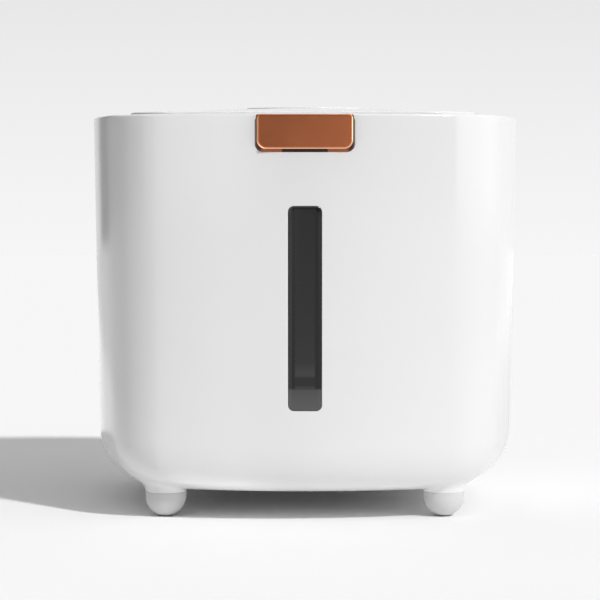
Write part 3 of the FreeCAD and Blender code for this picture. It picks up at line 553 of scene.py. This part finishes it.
# Steps along half a corner, the bottom and a side of the window's outline, and the block of the wall's
# grid that makes way for it: half width, lower and upper edge, and its cells across and upwards
WINDOW_CELLS = (5, 4, 50)
BLOCK_HALF, BLOCK_LOW, BLOCK_HIGH = 20.0, 70.0, 236.5
BLOCK_CELLS = (2 * WINDOW_CELLS[0] + WINDOW_CELLS[1], 2 * WINDOW_CELLS[0] + WINDOW_CELLS[2])
FOOT_OFFSET = 101.0
SEAM_HEIGHT = 18.1
SCREW_BORE = 2.03


def wall_slope(sizes):
    """Angle that the wall leans in by: its tangent is taper / (rim - underside)."""
    return math.atan2(sizes.taper, sizes.rim_height - sizes.underside)


def lean(sizes, z):
    """How far the wall has leaned in at a height: taper * (rim - z) / (rim - underside)."""
    return sizes.taper * (sizes.rim_height - z) / (sizes.rim_height - sizes.underside)


def front_face(sizes, x, z, depth):
    """Front wall's y at a place and depth: behind - sqrt((bow - lean - depth)^2 - x^2)."""
    reach = sizes.side_bow - lean(sizes, z) - depth
    return sizes.side_bow - sizes.width / 2 - np.sqrt(reach ** 2 - x ** 2)


def underside(sizes, x, y):
    """Height of the rounded underside over a point: the fillet's arc below its centre's height."""
    behind, offset, sweep = corner_start(sizes.width / 2, sizes.side_bow, sizes.corner)
    x, y = np.abs(x), np.abs(y)
    from_corner = sizes.corner - np.hypot(x - offset, y - offset)
    across, along = np.minimum(x, y), np.maximum(x, y) + behind
    from_side = sizes.side_bow - np.hypot(across, along)
    inset = np.where(np.arctan2(across, along) < sweep, from_side, from_corner)
    centre_z = sizes.underside + sizes.bottom_round
    centre_inset = lean(sizes, centre_z) + sizes.bottom_round / math.cos(wall_slope(sizes))
    short = np.clip(centre_inset - inset, 0.0, sizes.bottom_round)
    return centre_z - np.sqrt(sizes.bottom_round ** 2 - short ** 2)


def wall_section(sizes, depth, base, radius):
    """Rows of a wall from the flat bottom up to the rim: (inset, z) at a depth inside the outside."""
    slope = wall_slope(sizes)
    centre_z = base + radius
    centre_inset = lean(sizes, centre_z) + depth + radius / math.cos(slope)
    bottom = arc((0, 0), radius, -90, -math.degrees(slope), 18)
    bottom = np.stack([centre_inset - bottom[:, 0], centre_z + bottom[:, 1]], 1)
    heights = np.concatenate([np.linspace(bottom[-1, 1], BLOCK_LOW, 4)[1:-1],
                              np.linspace(BLOCK_LOW, BLOCK_HIGH, BLOCK_CELLS[1] + 1),
                              np.linspace(BLOCK_HIGH, NOTCH_LOW, 8)[1:], [272.0, 280.0]])
    return np.concatenate([bottom, np.stack([depth + lean(sizes, heights), heights], 1)])


def window_ring(sizes, path, depth):
    """Closed line on the front at a depth, above and below the points of a path in x and z."""
    x, z = path.T
    return np.stack([x, front_face(sizes, x, z, depth), z], 1)


def rounded_window(shape, offset):
    """Window's or slot's outline, grown by an offset."""
    width, low, high, corner = shape
    grown = corner + offset
    return rounded_path(width + 2 * offset, low - offset, high + offset, grown, grown, WINDOW_CELLS)


def body_skin(sizes):
    """Whole wall of the body as one closed surface, with its window and the opening in its rim.

    One profile goes round the outline, from the middle of the underside over the rim and back to the
    middle of the inner floor. Its blocks of cells at the window and the opening are left out, and rings
    lead from the outer block's border through the window to the inner one's.
    """
    half = sizes.width / 2
    side_x = sizes.side_bow * math.sin(corner_start(half, sizes.side_bow, sizes.corner)[2])
    right = np.concatenate([np.linspace(BLOCK_HALF, NOTCH_HALF, 4)[1:],
                            np.linspace(NOTCH_HALF, side_x, 18)[1:]])
    front_x = np.concatenate([-right[::-1], np.linspace(-BLOCK_HALF, BLOCK_HALF, BLOCK_CELLS[0] + 1),
                              right])
    columns = outline_columns(half, sizes.side_bow, sizes.corner, np.arcsin(front_x / sizes.side_bow))
    block = (len(right), len(right) + BLOCK_CELLS[0])
    notch = (block[0] - 3, block[1] + 3)
    outer = wall_section(sizes, 0.0, sizes.underside, sizes.bottom_round)
    inner = wall_section(sizes, sizes.wall, sizes.underside + sizes.floor_wall,
                         sizes.bottom_round - sizes.wall)[::-1]
    rim = arc((sizes.rim_round, sizes.rim_height - sizes.rim_round), sizes.rim_round, 180, 90, 6)
    inner_edge = arc((sizes.wall - 0.4, sizes.rim_height - 0.4), 0.4, 90, 0, 3)
    walls = around(columns, np.concatenate([outer, rim, inner_edge, inner]))
    shares = [0.0, 0.25, 0.5, 0.75, 0.9]
    points = np.concatenate([to_the_middle(walls[0], shares), walls,
                             to_the_middle(walls[-1], shares[::-1])])
    # Below the window's block lie the rows of the flat bottom, 19 of the rounding and 2 of the wall,
    # and from its top it is 7 rows to the opening in the rim. The rows inside mirror those outside.
    lowest = len(shares) + 19 + 2
    window_rows = (lowest, lowest + BLOCK_CELLS[1])
    notch_row = window_rows[1] + 7
    last = len(points) - 1
    inner_rows = (last - window_rows[1], last - window_rows[0])
    inner_notch = last - notch_row
    keep = cells_outside(points, [(window_rows, block), (inner_rows, block),
                                  ((notch_row, inner_notch), notch)])
    outside = block_border(points, window_rows, block)
    target = rounded_window(WINDOW, 2.5)
    rings = [outside] + [
        window_ring(sizes, outside[:, [0, 2]] * (1 - share) + target * share, 0.0)
        for share in (0.35, 0.7)]
    edge = 0.5
    sections = [(WINDOW, offset, 0.0) for offset in (2.5, 1.2, edge + 0.2)]
    sections += [(WINDOW, edge * (1 - math.sin(angle)), edge * (1 - math.cos(angle)))
                 for angle in np.radians(np.linspace(0, 90, 5))]
    sections += [(WINDOW, 0.0, 2.1), (WINDOW, -0.2, 2.3), (SLOT, 0.3, 2.3), (SLOT, 0.0, 2.6),
                 (SLOT, 0.0, 4.9), (SLOT, 0.3, 5.2), (WINDOW, 4.4, 5.2), (WINDOW, 5.0, 4.6),
                 (WINDOW, 5.2, 3.0)]
    rings += [window_ring(sizes, rounded_window(shape, offset), depth)
              for shape, offset, depth in sections]
    rings.append(block_border(points[::-1], window_rows, block))
    sill = points[[notch_row, inner_notch], notch[0]:notch[1] + 1]
    cheeks = [flat_face(points[notch_row:inner_notch + 1, column]) for column in notch]
    return [grid(points, keep=keep), grid(np.stack(rings)), grid(sill, closed=False)] + cheeks


def foot_collar(sizes, x, y):
    """Collar that flows from the underside into a foot's round top.

    At each angle a cubic curve leaves the foot's rim upright and meets the underside along its slope.
    """
    steps = 64
    angle = full_turn(steps)
    radii = (15.0, 15.2, 16.6, 21.5)
    outermost = radii[3]

    def over(radius):
        return underside(sizes, x + radius * np.cos(angle), y + radius * np.sin(angle)) + 0.06

    slope = (over(outermost + 0.2) - over(outermost - 0.2)) / 0.4
    heights = [np.full(steps, SEAM_HEIGHT + 0.2),
               SEAM_HEIGHT + 0.6 * (over(radii[1]) - SEAM_HEIGHT) + 0.4,
               over(outermost) - slope * (outermost - radii[2]), over(outermost)]
    rows = [(np.full(steps, radius), np.full(steps, SEAM_HEIGHT + rise))
            for radius, rise in ((0.0, 0.0), (14.7, 0.0), (14.9, 0.06))]
    for t in np.linspace(0, 1, 13):
        weights = ((1 - t) ** 3, 3 * t * (1 - t) ** 2, 3 * t ** 2 * (1 - t), t ** 3)
        rows.append((sum(w * r for w, r in zip(weights, radii)) * np.ones(steps),
                     sum(w * z for w, z in zip(weights, heights))))
    # The collar closes inside the body's own wall.
    hidden = outermost - 1.0
    rows += [(np.full(steps, hidden), over(hidden) + 1.6), (np.zeros(steps), np.full(steps, 22.4))]
    radius, z = np.stack(rows, 1)
    return grid(around_line(x, y, radius, angle, z))


def foot_boss(x, y):
    """Hollow boss on the inner floor that takes a foot's screw."""
    base, top = 22.6, 31.8
    return turned([(0, base), (6.0, base), (6.0, top - 0.3), (5.7, top), (2.4, top),
                   (SCREW_BORE, top - 0.3), (SCREW_BORE, 24.0), (0, 24.0)], (x, y), 40)


def corner_post(turn):
    """Post under the frame in a corner, with the gusset that joins it to the wall."""
    distance, base, top = 154.98, 256.0, 276.0
    column = turned([(0, base), (4.5, base), (4.5, top - 0.4), (4.1, top), (1.53, top), (1.53, 266.4),
                     (0, 266.4)], (distance * math.cos(turn), distance * math.sin(turn)), 40)
    outward, height = np.array([[0.0, base], [0.0, 275.9], [7.6, 275.9], [7.0, 247.6], [6.6, 232.0]]).T
    points, faces = prism([np.stack([distance + outward, np.full(5, side), height], 1)
                           for side in (-1.5, 1.5)])
    spin = np.array([[math.cos(turn), math.sin(turn), 0], [-math.sin(turn), math.cos(turn), 0],
                     [0, 0, 1]])
    return [column, (points @ spin, faces)]


class CONTAINER_OT_body(bpy.types.Operator):
    """Moulded body with its window, foot collars and the opening for the latch"""

    bl_idname = "container.body"
    bl_label = "Body"

    def execute(self, context):
        sizes = context.scene.container_body
        surfaces = body_skin(sizes)
        for x in (-FOOT_OFFSET, FOOT_OFFSET):
            for y in (-FOOT_OFFSET, FOOT_OFFSET):
                surfaces += [foot_collar(sizes, x, y), foot_boss(x, y)]
        for quarter in range(4):
            surfaces += corner_post(math.radians(45 + 90 * quarter))
        make_piece("moulded_body", surfaces, "base", ["body_shell"], "gloss")
        return {"FINISHED"}


# Feet

class CONTAINER_OT_feet(bpy.types.Operator):
    """Ball feet with a fine groove under their collars, and soft pads"""

    bl_idname = "container.feet"
    bl_label = "Feet"

    def execute(self, context):
        ball, flat = 14.8, 1.2
        lowest = -math.degrees(math.acos(math.sqrt(ball ** 2 - (ball - flat) ** 2) / ball))
        foot = [(SCREW_BORE, 7.0), (4.2, 7.0), (4.2, 2.4), (5.325, 2.4), (5.325, 1.35), (5.5, flat)]
        foot += arc((0.0, ball), ball, lowest, 0, 22).tolist()
        foot += [(14.9, 16.6), (14.97, 17.7), (14.92, 17.9), (14.75, 18.02), (14.5, 18.08),
                 (SCREW_BORE, SEAM_HEIGHT), (SCREW_BORE, 7.0)]
        pad = [(0, 0)] + arc((4.4, 0.8), 0.8, -90, 0, 6).tolist() + [(5.2, 2.4), (0, 2.4)]
        for depth, y in (("front", -FOOT_OFFSET), ("rear", FOOT_OFFSET)):
            for side, x in (("left", -FOOT_OFFSET), ("right", FOOT_OFFSET)):
                place = f"{depth}_{side}"
                make_piece(f"ball_foot_{place}", [turned(foot, (x, y), 96)], "base",
                           [f"foot_{place}"], "foot")
                make_piece(f"soft_pad_{place}", [turned(pad, (x, y), 48)], "base",
                           [f"foot_pad_{place}"], "pad")
        return {"FINISHED"}


# Window

def inside_window(shape, play):
    """Outline that stays inside a shape by a play on every side."""
    width, low, high, corner = shape
    return width - 2 * play, low + play, high - play, corner - play


class CONTAINER_OT_window(bpy.types.Operator):
    """Smoked pane with a bevelled edge, and the black gasket behind it"""

    bl_idname = "container.window"
    bl_label = "Window"

    def execute(self, context):
        sizes = context.scene.container_body
        pane = inside_window(WINDOW, 0.15)
        # Offset from the pane's outline, depth, and share of the way from the middle to the outline
        face = [(-1.6, 0.17, share) for share in (0.0, 0.3, 0.6, 0.85, 1.0)]
        bevel = [(offset, depth, 1.0) for offset, depth in (
            (-1.45, 0.2), (-1.3, 0.17), (-0.95, 0.17), (-0.75, 0.2), (-0.2, 0.42), (-0.06, 0.52),
            (0.0, 0.68), (0.0, 1.7), (-0.15, 1.85))]
        back = [(-0.6, 1.85, share) for share in (1.0, 0.6, 0.3, 0.0)]
        middle = np.array([0.0, (WINDOW[1] + WINDOW[2]) / 2])
        rings = [window_ring(sizes, middle + (rounded_window(pane, offset) - middle)
                             * (share, 0.98 + 0.02 * share), depth)
                 for offset, depth, share in face + bevel + back]
        make_piece("smoked_pane", [grid(np.stack(rings))], "base", ["window_pane"],
                   "smoke", 18.0)
        outer = inside_window(WINDOW, 0.25)
        inner = (SLOT[0] + 0.02, SLOT[1] - 0.01, SLOT[2] + 0.01, SLOT[3])
        front, back = 1.92, 2.28
        foam = grid(np.stack([
            window_ring(sizes, rounded_window(outline, 0.0), depth) for outline, depth in (
                (outer, front), (outer, back), (inner, back), (inner, front), (outer, front))]))
        make_piece("foam_gasket", [foam], "base", ["window_gasket"], "foam")
        return {"FINISHED"}


# Latch

LATCH_TOP, LATCH_FRONT, LATCH_EDGE, LATCH_WALL = 289.4, -164.7, 0.8, 1.8
LATCH_CELLS = (8, 18, 14)


def latch_paths(inset):
    """Outlines of the latch's front plate and of its wider back edge, moved inwards by an inset."""
    corners = (6.0 - 0.8 * inset, 1.3 - 0.3 * inset)
    top = LATCH_TOP - (0.3 if inset < 1.5 else 1.0) * inset
    return [rounded_path(width - 2 * inset, low + inset, top, *corners, LATCH_CELLS)
            for width, low in ((66.8, 265.4), (70.0, 263.0))]


def latch_rows(sizes, inset, front, shares):
    """Rows of a sloping wall of the latch, from a plane at the front to its back edge.

    The outline widens evenly with the depth. The back edge follows the body's bow with a gap of
    0.3 mm, and slopes forward near the top, where the cover turns past the lid.
    """
    small, large = latch_paths(inset)
    x, z = large.T
    slope = np.interp(z, (283.6, 287.0), (-158.2, -162.3))
    back = np.minimum(front_face(sizes, x, z, -0.3), slope)
    rows = []
    for share in shares:
        y = front + share * (back - front)
        blend = np.clip((y - LATCH_FRONT - LATCH_EDGE) / 3.9, 0.0, 1.0)[:, None]
        path = small + blend * (large - small)
        rows.append(np.stack([path[:, 0], y, path[:, 1]], 1))
    return rows


class CONTAINER_OT_latch(bpy.types.Operator):
    """Copper latch cover: a plate whose bevelled edge carries a painted highlight, sloping walls and a
    finger slot below
    """

    bl_idname = "container.latch"
    bl_label = "Latch"

    def execute(self, context):
        sizes = context.scene.container_body
        front = []
        for inset, depth in ((1.8, 0.0), (1.2, 0.0), (1.05, 0.01), (0.95, 0.05), (0.25, 0.37),
                             (0.13, 0.46), (0.04, 0.6)):
            x, z = latch_paths(inset)[0].T
            front.append(np.stack([x, np.full(len(x), LATCH_FRONT + depth), z], 1))
        outer = np.stack(front + latch_rows(sizes, 0.0, LATCH_FRONT + LATCH_EDGE,
                                            (0.0, 0.14, 0.62, 0.8, 0.95, 1.0)))
        inner = np.stack(latch_rows(sizes, LATCH_WALL, LATCH_FRONT + LATCH_WALL,
                                    (0.0, 0.27, 0.68, 1.0)))
        middle = LATCH_CELLS[0] + LATCH_CELLS[1] // 2
        slot = (middle - 5, middle + 5)
        surfaces = [flat_face(outer[0]), flat_face(inner[0]), grid(np.stack([outer[-1], inner[-1]]))]
        slot_ends = []
        for wall, row in ((outer, len(front) + 2), (inner, 1)):
            rows = (row, row + 1)
            surfaces.append(grid(wall, keep=cells_outside(wall, [(rows, slot)])))
            slot_ends.append(block_border(wall, rows, slot))
        surfaces.append(grid(np.stack(slot_ends)))
        cover = make_piece("latch_plate", surfaces, "latch", ["latch_cover"], "copper",
                           40.0)
        # The cover is left out of shadows, so it casts no shadow on the body.
        cover.visible_shadow = False
        return {"FINISHED"}


# Lid and dial

LID_OUTLINE = (130.0, 1200.0, 45.0)     # half width, bow and corner radius


class CONTAINER_OT_seal(bpy.types.Operator):
    """Silicone ring with a round bead that closes on the lip of the throat"""

    bl_idname = "container.seal"
    bl_label = "Seal"

    def execute(self, context):
        top, web = 284.48, 283.3
        bead = arc((14.5, 284.1), 1.5, 0, -180, 12)
        section = np.concatenate([[(20.6, top), (20.7, web + 0.1), (20.5, web)],
                                  np.stack([bead[:, 0], np.minimum(bead[:, 1], web)], 1),
                                  [(12.0, web), (11.8, web + 0.2), (11.8, top - 0.2), (12.0, top),
                                   (20.6, top)]])
        make_piece("bead_seal", [grid(around(outline_columns(*LID_OUTLINE), section))], "lid",
                   ["lid_seal"], "silicone")
        return {"FINISHED"}


def number(text, height, radius, turn, level):
    """Printed number on the dial, upright when it stands at the front: text made a mesh, then placed.

    A point (u, v) of the text goes to (radius - v) * outward + u * along.
    """
    curve = bpy.data.curves.new("number", "FONT")
    curve.body = text
    curve.size = height / 0.7 * MM      # digits are 0.7 of the type's size
    curve.extrude = 0.03 * MM
    curve.align_x = "CENTER"
    curve.align_y = "CENTER"
    writing = bpy.data.objects.new("number", curve)
    bpy.context.scene.collection.objects.link(writing)
    mesh = bpy.data.meshes.new_from_object(writing)
    bpy.data.objects.remove(writing)
    bpy.data.curves.remove(curve)
    flat = np.empty(len(mesh.vertices) * 3)
    mesh.vertices.foreach_get("co", flat)
    points = flat.reshape(-1, 3) / MM
    polygons = [list(polygon.vertices) for polygon in mesh.polygons]
    bpy.data.meshes.remove(mesh)
    along = np.array([math.cos(turn + np.pi / 2), math.sin(turn + np.pi / 2), 0.0])
    outward = np.array([math.cos(turn), math.sin(turn), 0.0])
    placed = points[:, :1] * along - points[:, 1:2] * outward + outward * radius
    placed[:, 2] = points[:, 2] + level
    return placed, polygons


class CONTAINER_OT_dial(bpy.types.Operator):
    """Printed days 1 to 31, months 1 to 12 and the index mark of the date dial"""

    bl_idname = "container.dial"
    bl_label = "Dial"

    def execute(self, context):
        gap = math.radians(24)
        days = np.pi / 2 - gap - np.arange(31) * (2 * np.pi - 2 * gap) / 30
        months = -np.pi / 2 - np.arange(12) * np.pi / 6
        for ring, height, radius, turns, level in (("day", 3.0, 36.4, days, 297.61),
                                                   ("month", 2.5, 24.15, months, 297.91)):
            numbers = [number(str(count), height, radius, turn, level)
                       for count, turn in enumerate(turns, 1)]
            make_piece(f"{ring}_numbers", numbers, f"{ring}_ring", [], "ink")
        rim, seat, well, floor, foot = 298.17, 296.0, 293.4, 292.4, 289.9
        bore, hub, inside, outside = 1.53, 5.0, 41.5, 45.0
        bezel = [(bore, seat), (hub - 0.2, seat), (hub, seat - 0.2), (hub, well), (inside, well),
                 (inside, rim - 0.3), (inside + 0.3, rim)]
        bezel += arc((outside - 1.0, rim - 1.0), 1.0, 90, 0, 8).tolist()
        bezel += [(outside, floor), (hub, floor), (hub, foot), (bore, foot), (bore, seat)]
        make_piece("bezel_ring", [turned(bezel, steps=160)], "lid", ["dial_bezel"],
                   "gloss")
        mark = prism([[(-0.9, -43.8, z), (0.9, -43.8, z), (0.0, -42.1, z)]
                      for z in (rim - 0.02, rim + 0.02)])
        make_piece("index_mark", [mark], "lid", [], "ink")
        return {"FINISHED"}


# Fasteners

def screw(place, seat, upward, head, head_height, shank, shank_length):
    """Pan-head screw about an upright line: domed head, cross recess, threaded shank with a point.

    The recess's outline at each angle is the larger reach of two crossed bars. The thread is drawn as
    rings, one pitch apart.
    """
    pitch = 0.8
    angle = full_turn(48)
    sine, cosine = np.abs(np.sin(angle)) + 1e-6, np.abs(np.cos(angle)) + 1e-6
    arm, bar = 0.62 * head, 0.16 * head
    cross = np.maximum(np.minimum(arm / cosine, bar / sine), np.minimum(arm / sine, bar / cosine))
    core = shank * 0.86
    outline = [(0.0, shank_length), (shank * 0.5, shank_length - 0.4)]
    for start in pitch * np.arange(int(shank_length / pitch))[::-1]:
        outline += [(core, start + 0.7), (shank, start + 0.4), (core, start + 0.1)]
    outline += [(core, 0.0), (head * 0.97, 0.0)]
    outline += [(head * share, -rise * head_height) for share, rise in (
        (1.0, 0.0), (1.0, 0.35), (0.96, 0.6), (0.86, 0.84), (0.72, 1.0))]
    rows = [(np.full(48, radius), level) for radius, level in outline]
    rows += [(cross * share, -rise * head_height) for share, rise in (
        (1.0, 1.0), (0.8, 0.3), (0.0, 0.25))]
    radius = np.stack([row[0] for row in rows])
    level = np.array([row[1] for row in rows])[:, None]
    return around_line(*place, radius, angle, level * (1.0 if upward else -1.0) + seat)


class CONTAINER_OT_fasteners(bpy.types.Operator):
    """Cross-recess screws of the lid's tray, the frame and the catch"""

    bl_idname = "container.fasteners"
    bl_label = "Fasteners"

    def execute(self, context):
        corner_reach = 82.08 * math.sqrt(2) + LID_OUTLINE[2]
        edges = [(0.0, -122.6), (122.6, 0.0), (-122.6, 0.0)]
        in_tray, in_frame = [
            [((corner_reach - inset) * math.cos(turn), (corner_reach - inset) * math.sin(turn))
             for turn in np.radians(45 + 90 * np.arange(4))] for inset in (7.3, 6.1)]
        tray = [screw(place, 284.5, True, 2.8, 1.88, 1.25, 4.85) for place in edges + in_tray]
        frame_top = [screw(place, 279.5, False, 3.2, 1.68, 1.5, 11.9) for place in in_frame]
        # The clip's screws lie level, so theirs are turned over after they are made upright.
        points = screw((0.0, 0.0), 0.0, True, 2.1, 1.28, 1.1, 4.35)
        clip = [np.stack([points[..., 0] + x, points[..., 2] - 147.6, 278.9 - points[..., 1]], -1)
                for x in (-7.0, 7.0)]
        for name, screws, body, node in (("tray_screws", tray, "lid", "lid_screws"),
                                         ("frame_screws", frame_top, "base", "top_frame_screws"),
                                         ("clip_screws", clip, "base", "catch_screws")):
            make_piece(name, [grid(points) for points in screws], body, [node], "zinc")
        return {"FINISHED"}


# Studio

def make_floor():
    """Round pale floor under the container, 12 m across.

    The camera sees it darker a little towards the feet, painted shade round a point to the front right
    of the middle.
    Gloss sees it glow brighter than white, painted reflections of wide bright areas on both sides and of
    a brighter patch to the left of the front; bounced light sees it a tenth brighter than white, which
    is painted light.
    """
    mesh = bpy.data.meshes.new("floor")
    mesh.from_pydata(around_line(0.0, 0.0, 6.0, full_turn(96), 0.0).tolist(), [], [list(range(96))])
    floor = bpy.data.objects.new("floor", mesh)
    bpy.context.scene.collection.objects.link(floor)
    material, tree, shader, place = new_material(
        "matt studio floor", "#ffffff", 0.9, Specular_IOR_Level=0.0)
    mesh.materials.append(material)
    distance = add_node(tree, "VectorMath", {0: place, 1: (0.09, -0.08, 0.0)}, operation="DISTANCE")
    # Painted shade: to the camera, darker near a point to the front right of the middle.
    tone = add_node(tree, "ValToRGB", {"Fac": distance}, stops=[
        (0.0, 1.04), (0.06, 1.06), (0.12, 1.115), (0.16, 1.155), (0.2, 1.185), (0.24, 1.22),
        (0.3, 1.25), (0.5, 1.3), (0.8, 1.31)])
    where = add_node(tree, "SeparateXYZ", {0: place})
    across = add_node(tree, "MapRange", {"Value": (where, "X"), "From Min": -1.0, "From Max": 1.0})
    # Painted reflections: to gloss the floor glows brighter than white on both sides and left of the
    # front.
    painted_reflection_panels = add_node(tree, "ValToRGB", {"Fac": across}, stops=[
        (0.05, 1.15), (0.2, 1.6), (0.35, 1.6), (0.47, 1.15), (0.65, 1.15), (1.0, 1.6)])
    forwards = add_node(tree, "Math", {0: (where, "Y"), 1: -1.0}, operation="MULTIPLY")
    turn = add_node(tree, "Math", {0: (where, "X"), 1: forwards}, operation="ARCTAN2")
    bearing = add_node(tree, "MapRange", {
        "Value": turn, "From Min": math.radians(-45.0), "From Max": 0.0})
    painted_reflection_card = add_node(tree, "ValToRGB", {"Fac": bearing}, stops=[
        (0.04, 0.0), (0.18, 1.0), (0.53, 1.0), (0.71, 0.4), (0.89, 0.0)])
    mirrored = add_node(tree, "Mix", {"Factor": painted_reflection_card, MIX_A: painted_reflection_panels, MIX_B: grey(2.8)},
                        data_type="RGBA")
    rays = add_node(tree, "LightPath")
    # Painted light: bounced light sees the floor a tenth brighter than white.
    unseen = add_node(tree, "Mix", {
        "Factor": (rays, "Is Glossy Ray"), MIX_A: grey(1.1), MIX_B: mirrored}, data_type="RGBA")
    add_node(tree, "Mix", {"Factor": (rays, "Is Camera Ray"), MIX_A: unseen, MIX_B: tone},
             (shader, "Base Color"), data_type="RGBA")


def make_world(scene, studio):
    """Soft surroundings, brighter above, on the right and in front, behind a pale backdrop.

    Light from a direction (x, y, z) is top * max(z, 0) + side * max(x, 0) + front * max(-y, 0) + a
    little all round. The camera sees a backdrop that darkens slowly upwards. Gloss sees the studio's
    walls, whose level changes with the bearing, under a bright ceiling.
    """
    world = bpy.data.worlds.new("studio")
    scene.world = world
    world.use_nodes = True
    tree = world.node_tree
    way = add_node(tree, "SeparateXYZ", {0: (add_node(tree, "TexCoord"), "Generated")})
    forwards = add_node(tree, "Math", {0: (way, "Y"), 1: -1.0}, operation="MULTIPLY")
    soft_light = studio.even_fill
    for towards, fill in (((way, "Z"), studio.top_fill), ((way, "X"), studio.side_fill),
                          (forwards, studio.front_fill)):
        facing = add_node(tree, "Math", {0: towards, 1: 0.0}, operation="MAXIMUM")
        soft_light = add_node(tree, "Math", {0: facing, 1: fill, 2: soft_light},
                              operation="MULTIPLY_ADD")
    height = add_node(tree, "MapRange", {"Value": (way, "Z"), "From Min": -0.05, "From Max": 0.1})
    backdrop = add_node(tree, "ValToRGB", {"Fac": height}, stops=[
        (0.0, 0.925), (0.13, 0.92), (0.33, 0.895), (0.57, 0.855), (0.79, 0.815), (1.0, 0.78)])
    turn = add_node(tree, "Math", {0: (way, "X"), 1: forwards}, operation="ARCTAN2")
    bearing = add_node(tree, "MapRange", {"Value": turn, "From Min": -math.pi, "From Max": math.pi})
    degrees = ((-180, 0.85), (-160, 0.85), (-154, 0.1), (-62, 0.1), (-56, 1.0), (-43, 1.2), (-37, 2.8),
               (-21, 2.8), (-13, 1.6), (-5, 0.25), (42, 0.25), (46, 2.3), (100, 2.3), (130, 1.3),
               (160, 1.0), (180, 0.85))
    walls = add_node(tree, "ValToRGB", {"Fac": bearing}, stops=[
        ((angle + 180) / 360, level) for angle, level in degrees])
    above = add_node(tree, "MapRange", {"Value": (way, "Z"), "From Min": 0.35, "From Max": 0.7},
                     interpolation_type="SMOOTHSTEP")
    room = add_node(tree, "Mix", {"Factor": above, MIX_A: walls, MIX_B: grey(2.2)}, data_type="RGBA")
    rays = add_node(tree, "LightPath")
    see_through = add_node(tree, "Math", {
        0: (rays, "Is Camera Ray"), 1: (rays, "Is Transmission Ray")}, operation="MAXIMUM")
    unseen = add_node(tree, "Mix", {
        "Factor": (rays, "Is Glossy Ray"), MIX_A: soft_light, MIX_B: room}, data_type="RGBA")
    add_node(tree, "Mix", {"Factor": see_through, MIX_A: unseen, MIX_B: backdrop},
             (tree.nodes["Background"], "Color"), data_type="RGBA")


def make_key(scene, studio):
    """Key light from the front right."""
    data = bpy.data.lights.new("key", "SUN")
    data.energy = studio.key_strength
    data.angle = studio.key_width
    key = bpy.data.objects.new("key", data)
    rise, turn = studio.key_rise, studio.key_turn
    towards = Vector((-math.sin(turn) * math.cos(rise), math.cos(turn) * math.cos(rise),
                      -math.sin(rise)))
    key.rotation_euler = towards.to_track_quat("-Z", "Y").to_euler()
    scene.collection.objects.link(key)


def make_camera(scene, studio):
    """Camera at the photograph's angle."""
    data = bpy.data.cameras.new("camera")
    data.sensor_width = 36.0
    data.lens = studio.lens
    data.shift_x = studio.shift
    camera = bpy.data.objects.new("camera", data)
    camera.location = (0.0, -studio.distance, studio.height)
    camera.rotation_euler = (math.pi / 2 - studio.tilt, 0.0, 0.0)
    scene.collection.objects.link(camera)
    scene.camera = camera


class CONTAINER_OT_studio(bpy.types.Operator):
    """Pale floor, key light, surroundings and the camera"""

    bl_idname = "container.studio"
    bl_label = "Studio"

    def execute(self, context):
        studio = context.scene.container_studio
        make_floor()
        make_world(context.scene, studio)
        make_key(context.scene, studio)
        make_camera(context.scene, studio)
        context.scene.view_settings.view_transform = "Standard"
        return {"FINISHED"}


class CONTAINER_PT_panel(bpy.types.Panel):
    """Buttons for the container's pieces."""

    bl_label = "Container"
    bl_idname = "CONTAINER_PT_panel"
    bl_space_type = "VIEW_3D"
    bl_region_type = "UI"
    bl_category = "Container"

    def draw(self, context):
        for operator in OPERATORS:
            self.layout.operator(operator.bl_idname)


GROUPS = {"container_body": ContainerBodySizes, "container_colours": ContainerColours,
          "container_studio": ContainerStudio}
OPERATORS = (CONTAINER_OT_finishes, CONTAINER_OT_body, CONTAINER_OT_feet, CONTAINER_OT_window,
             CONTAINER_OT_latch, CONTAINER_OT_seal, CONTAINER_OT_dial, CONTAINER_OT_fasteners,
             CONTAINER_OT_studio)
CLASSES = (*GROUPS.values(), *OPERATORS, CONTAINER_PT_panel)


def register():
    """Register the classes, and hang the groups of sizes and colours on the scene."""
    for cls in CLASSES:
        bpy.utils.register_class(cls)
    for name, group in GROUPS.items():
        setattr(bpy.types.Scene, name, bpy.props.PointerProperty(type=group))


def unregister():
    """Take the groups and the classes away again."""
    for name in GROUPS:
        delattr(bpy.types.Scene, name)
    for cls in reversed(CLASSES):
        bpy.utils.unregister_class(cls)


def main():
    """Register the add-on and make every piece."""
    register()
    for operator in OPERATORS:
        getattr(bpy.ops.container, operator.bl_idname.split(".")[1])()


if __name__ == "__main__":
    main()
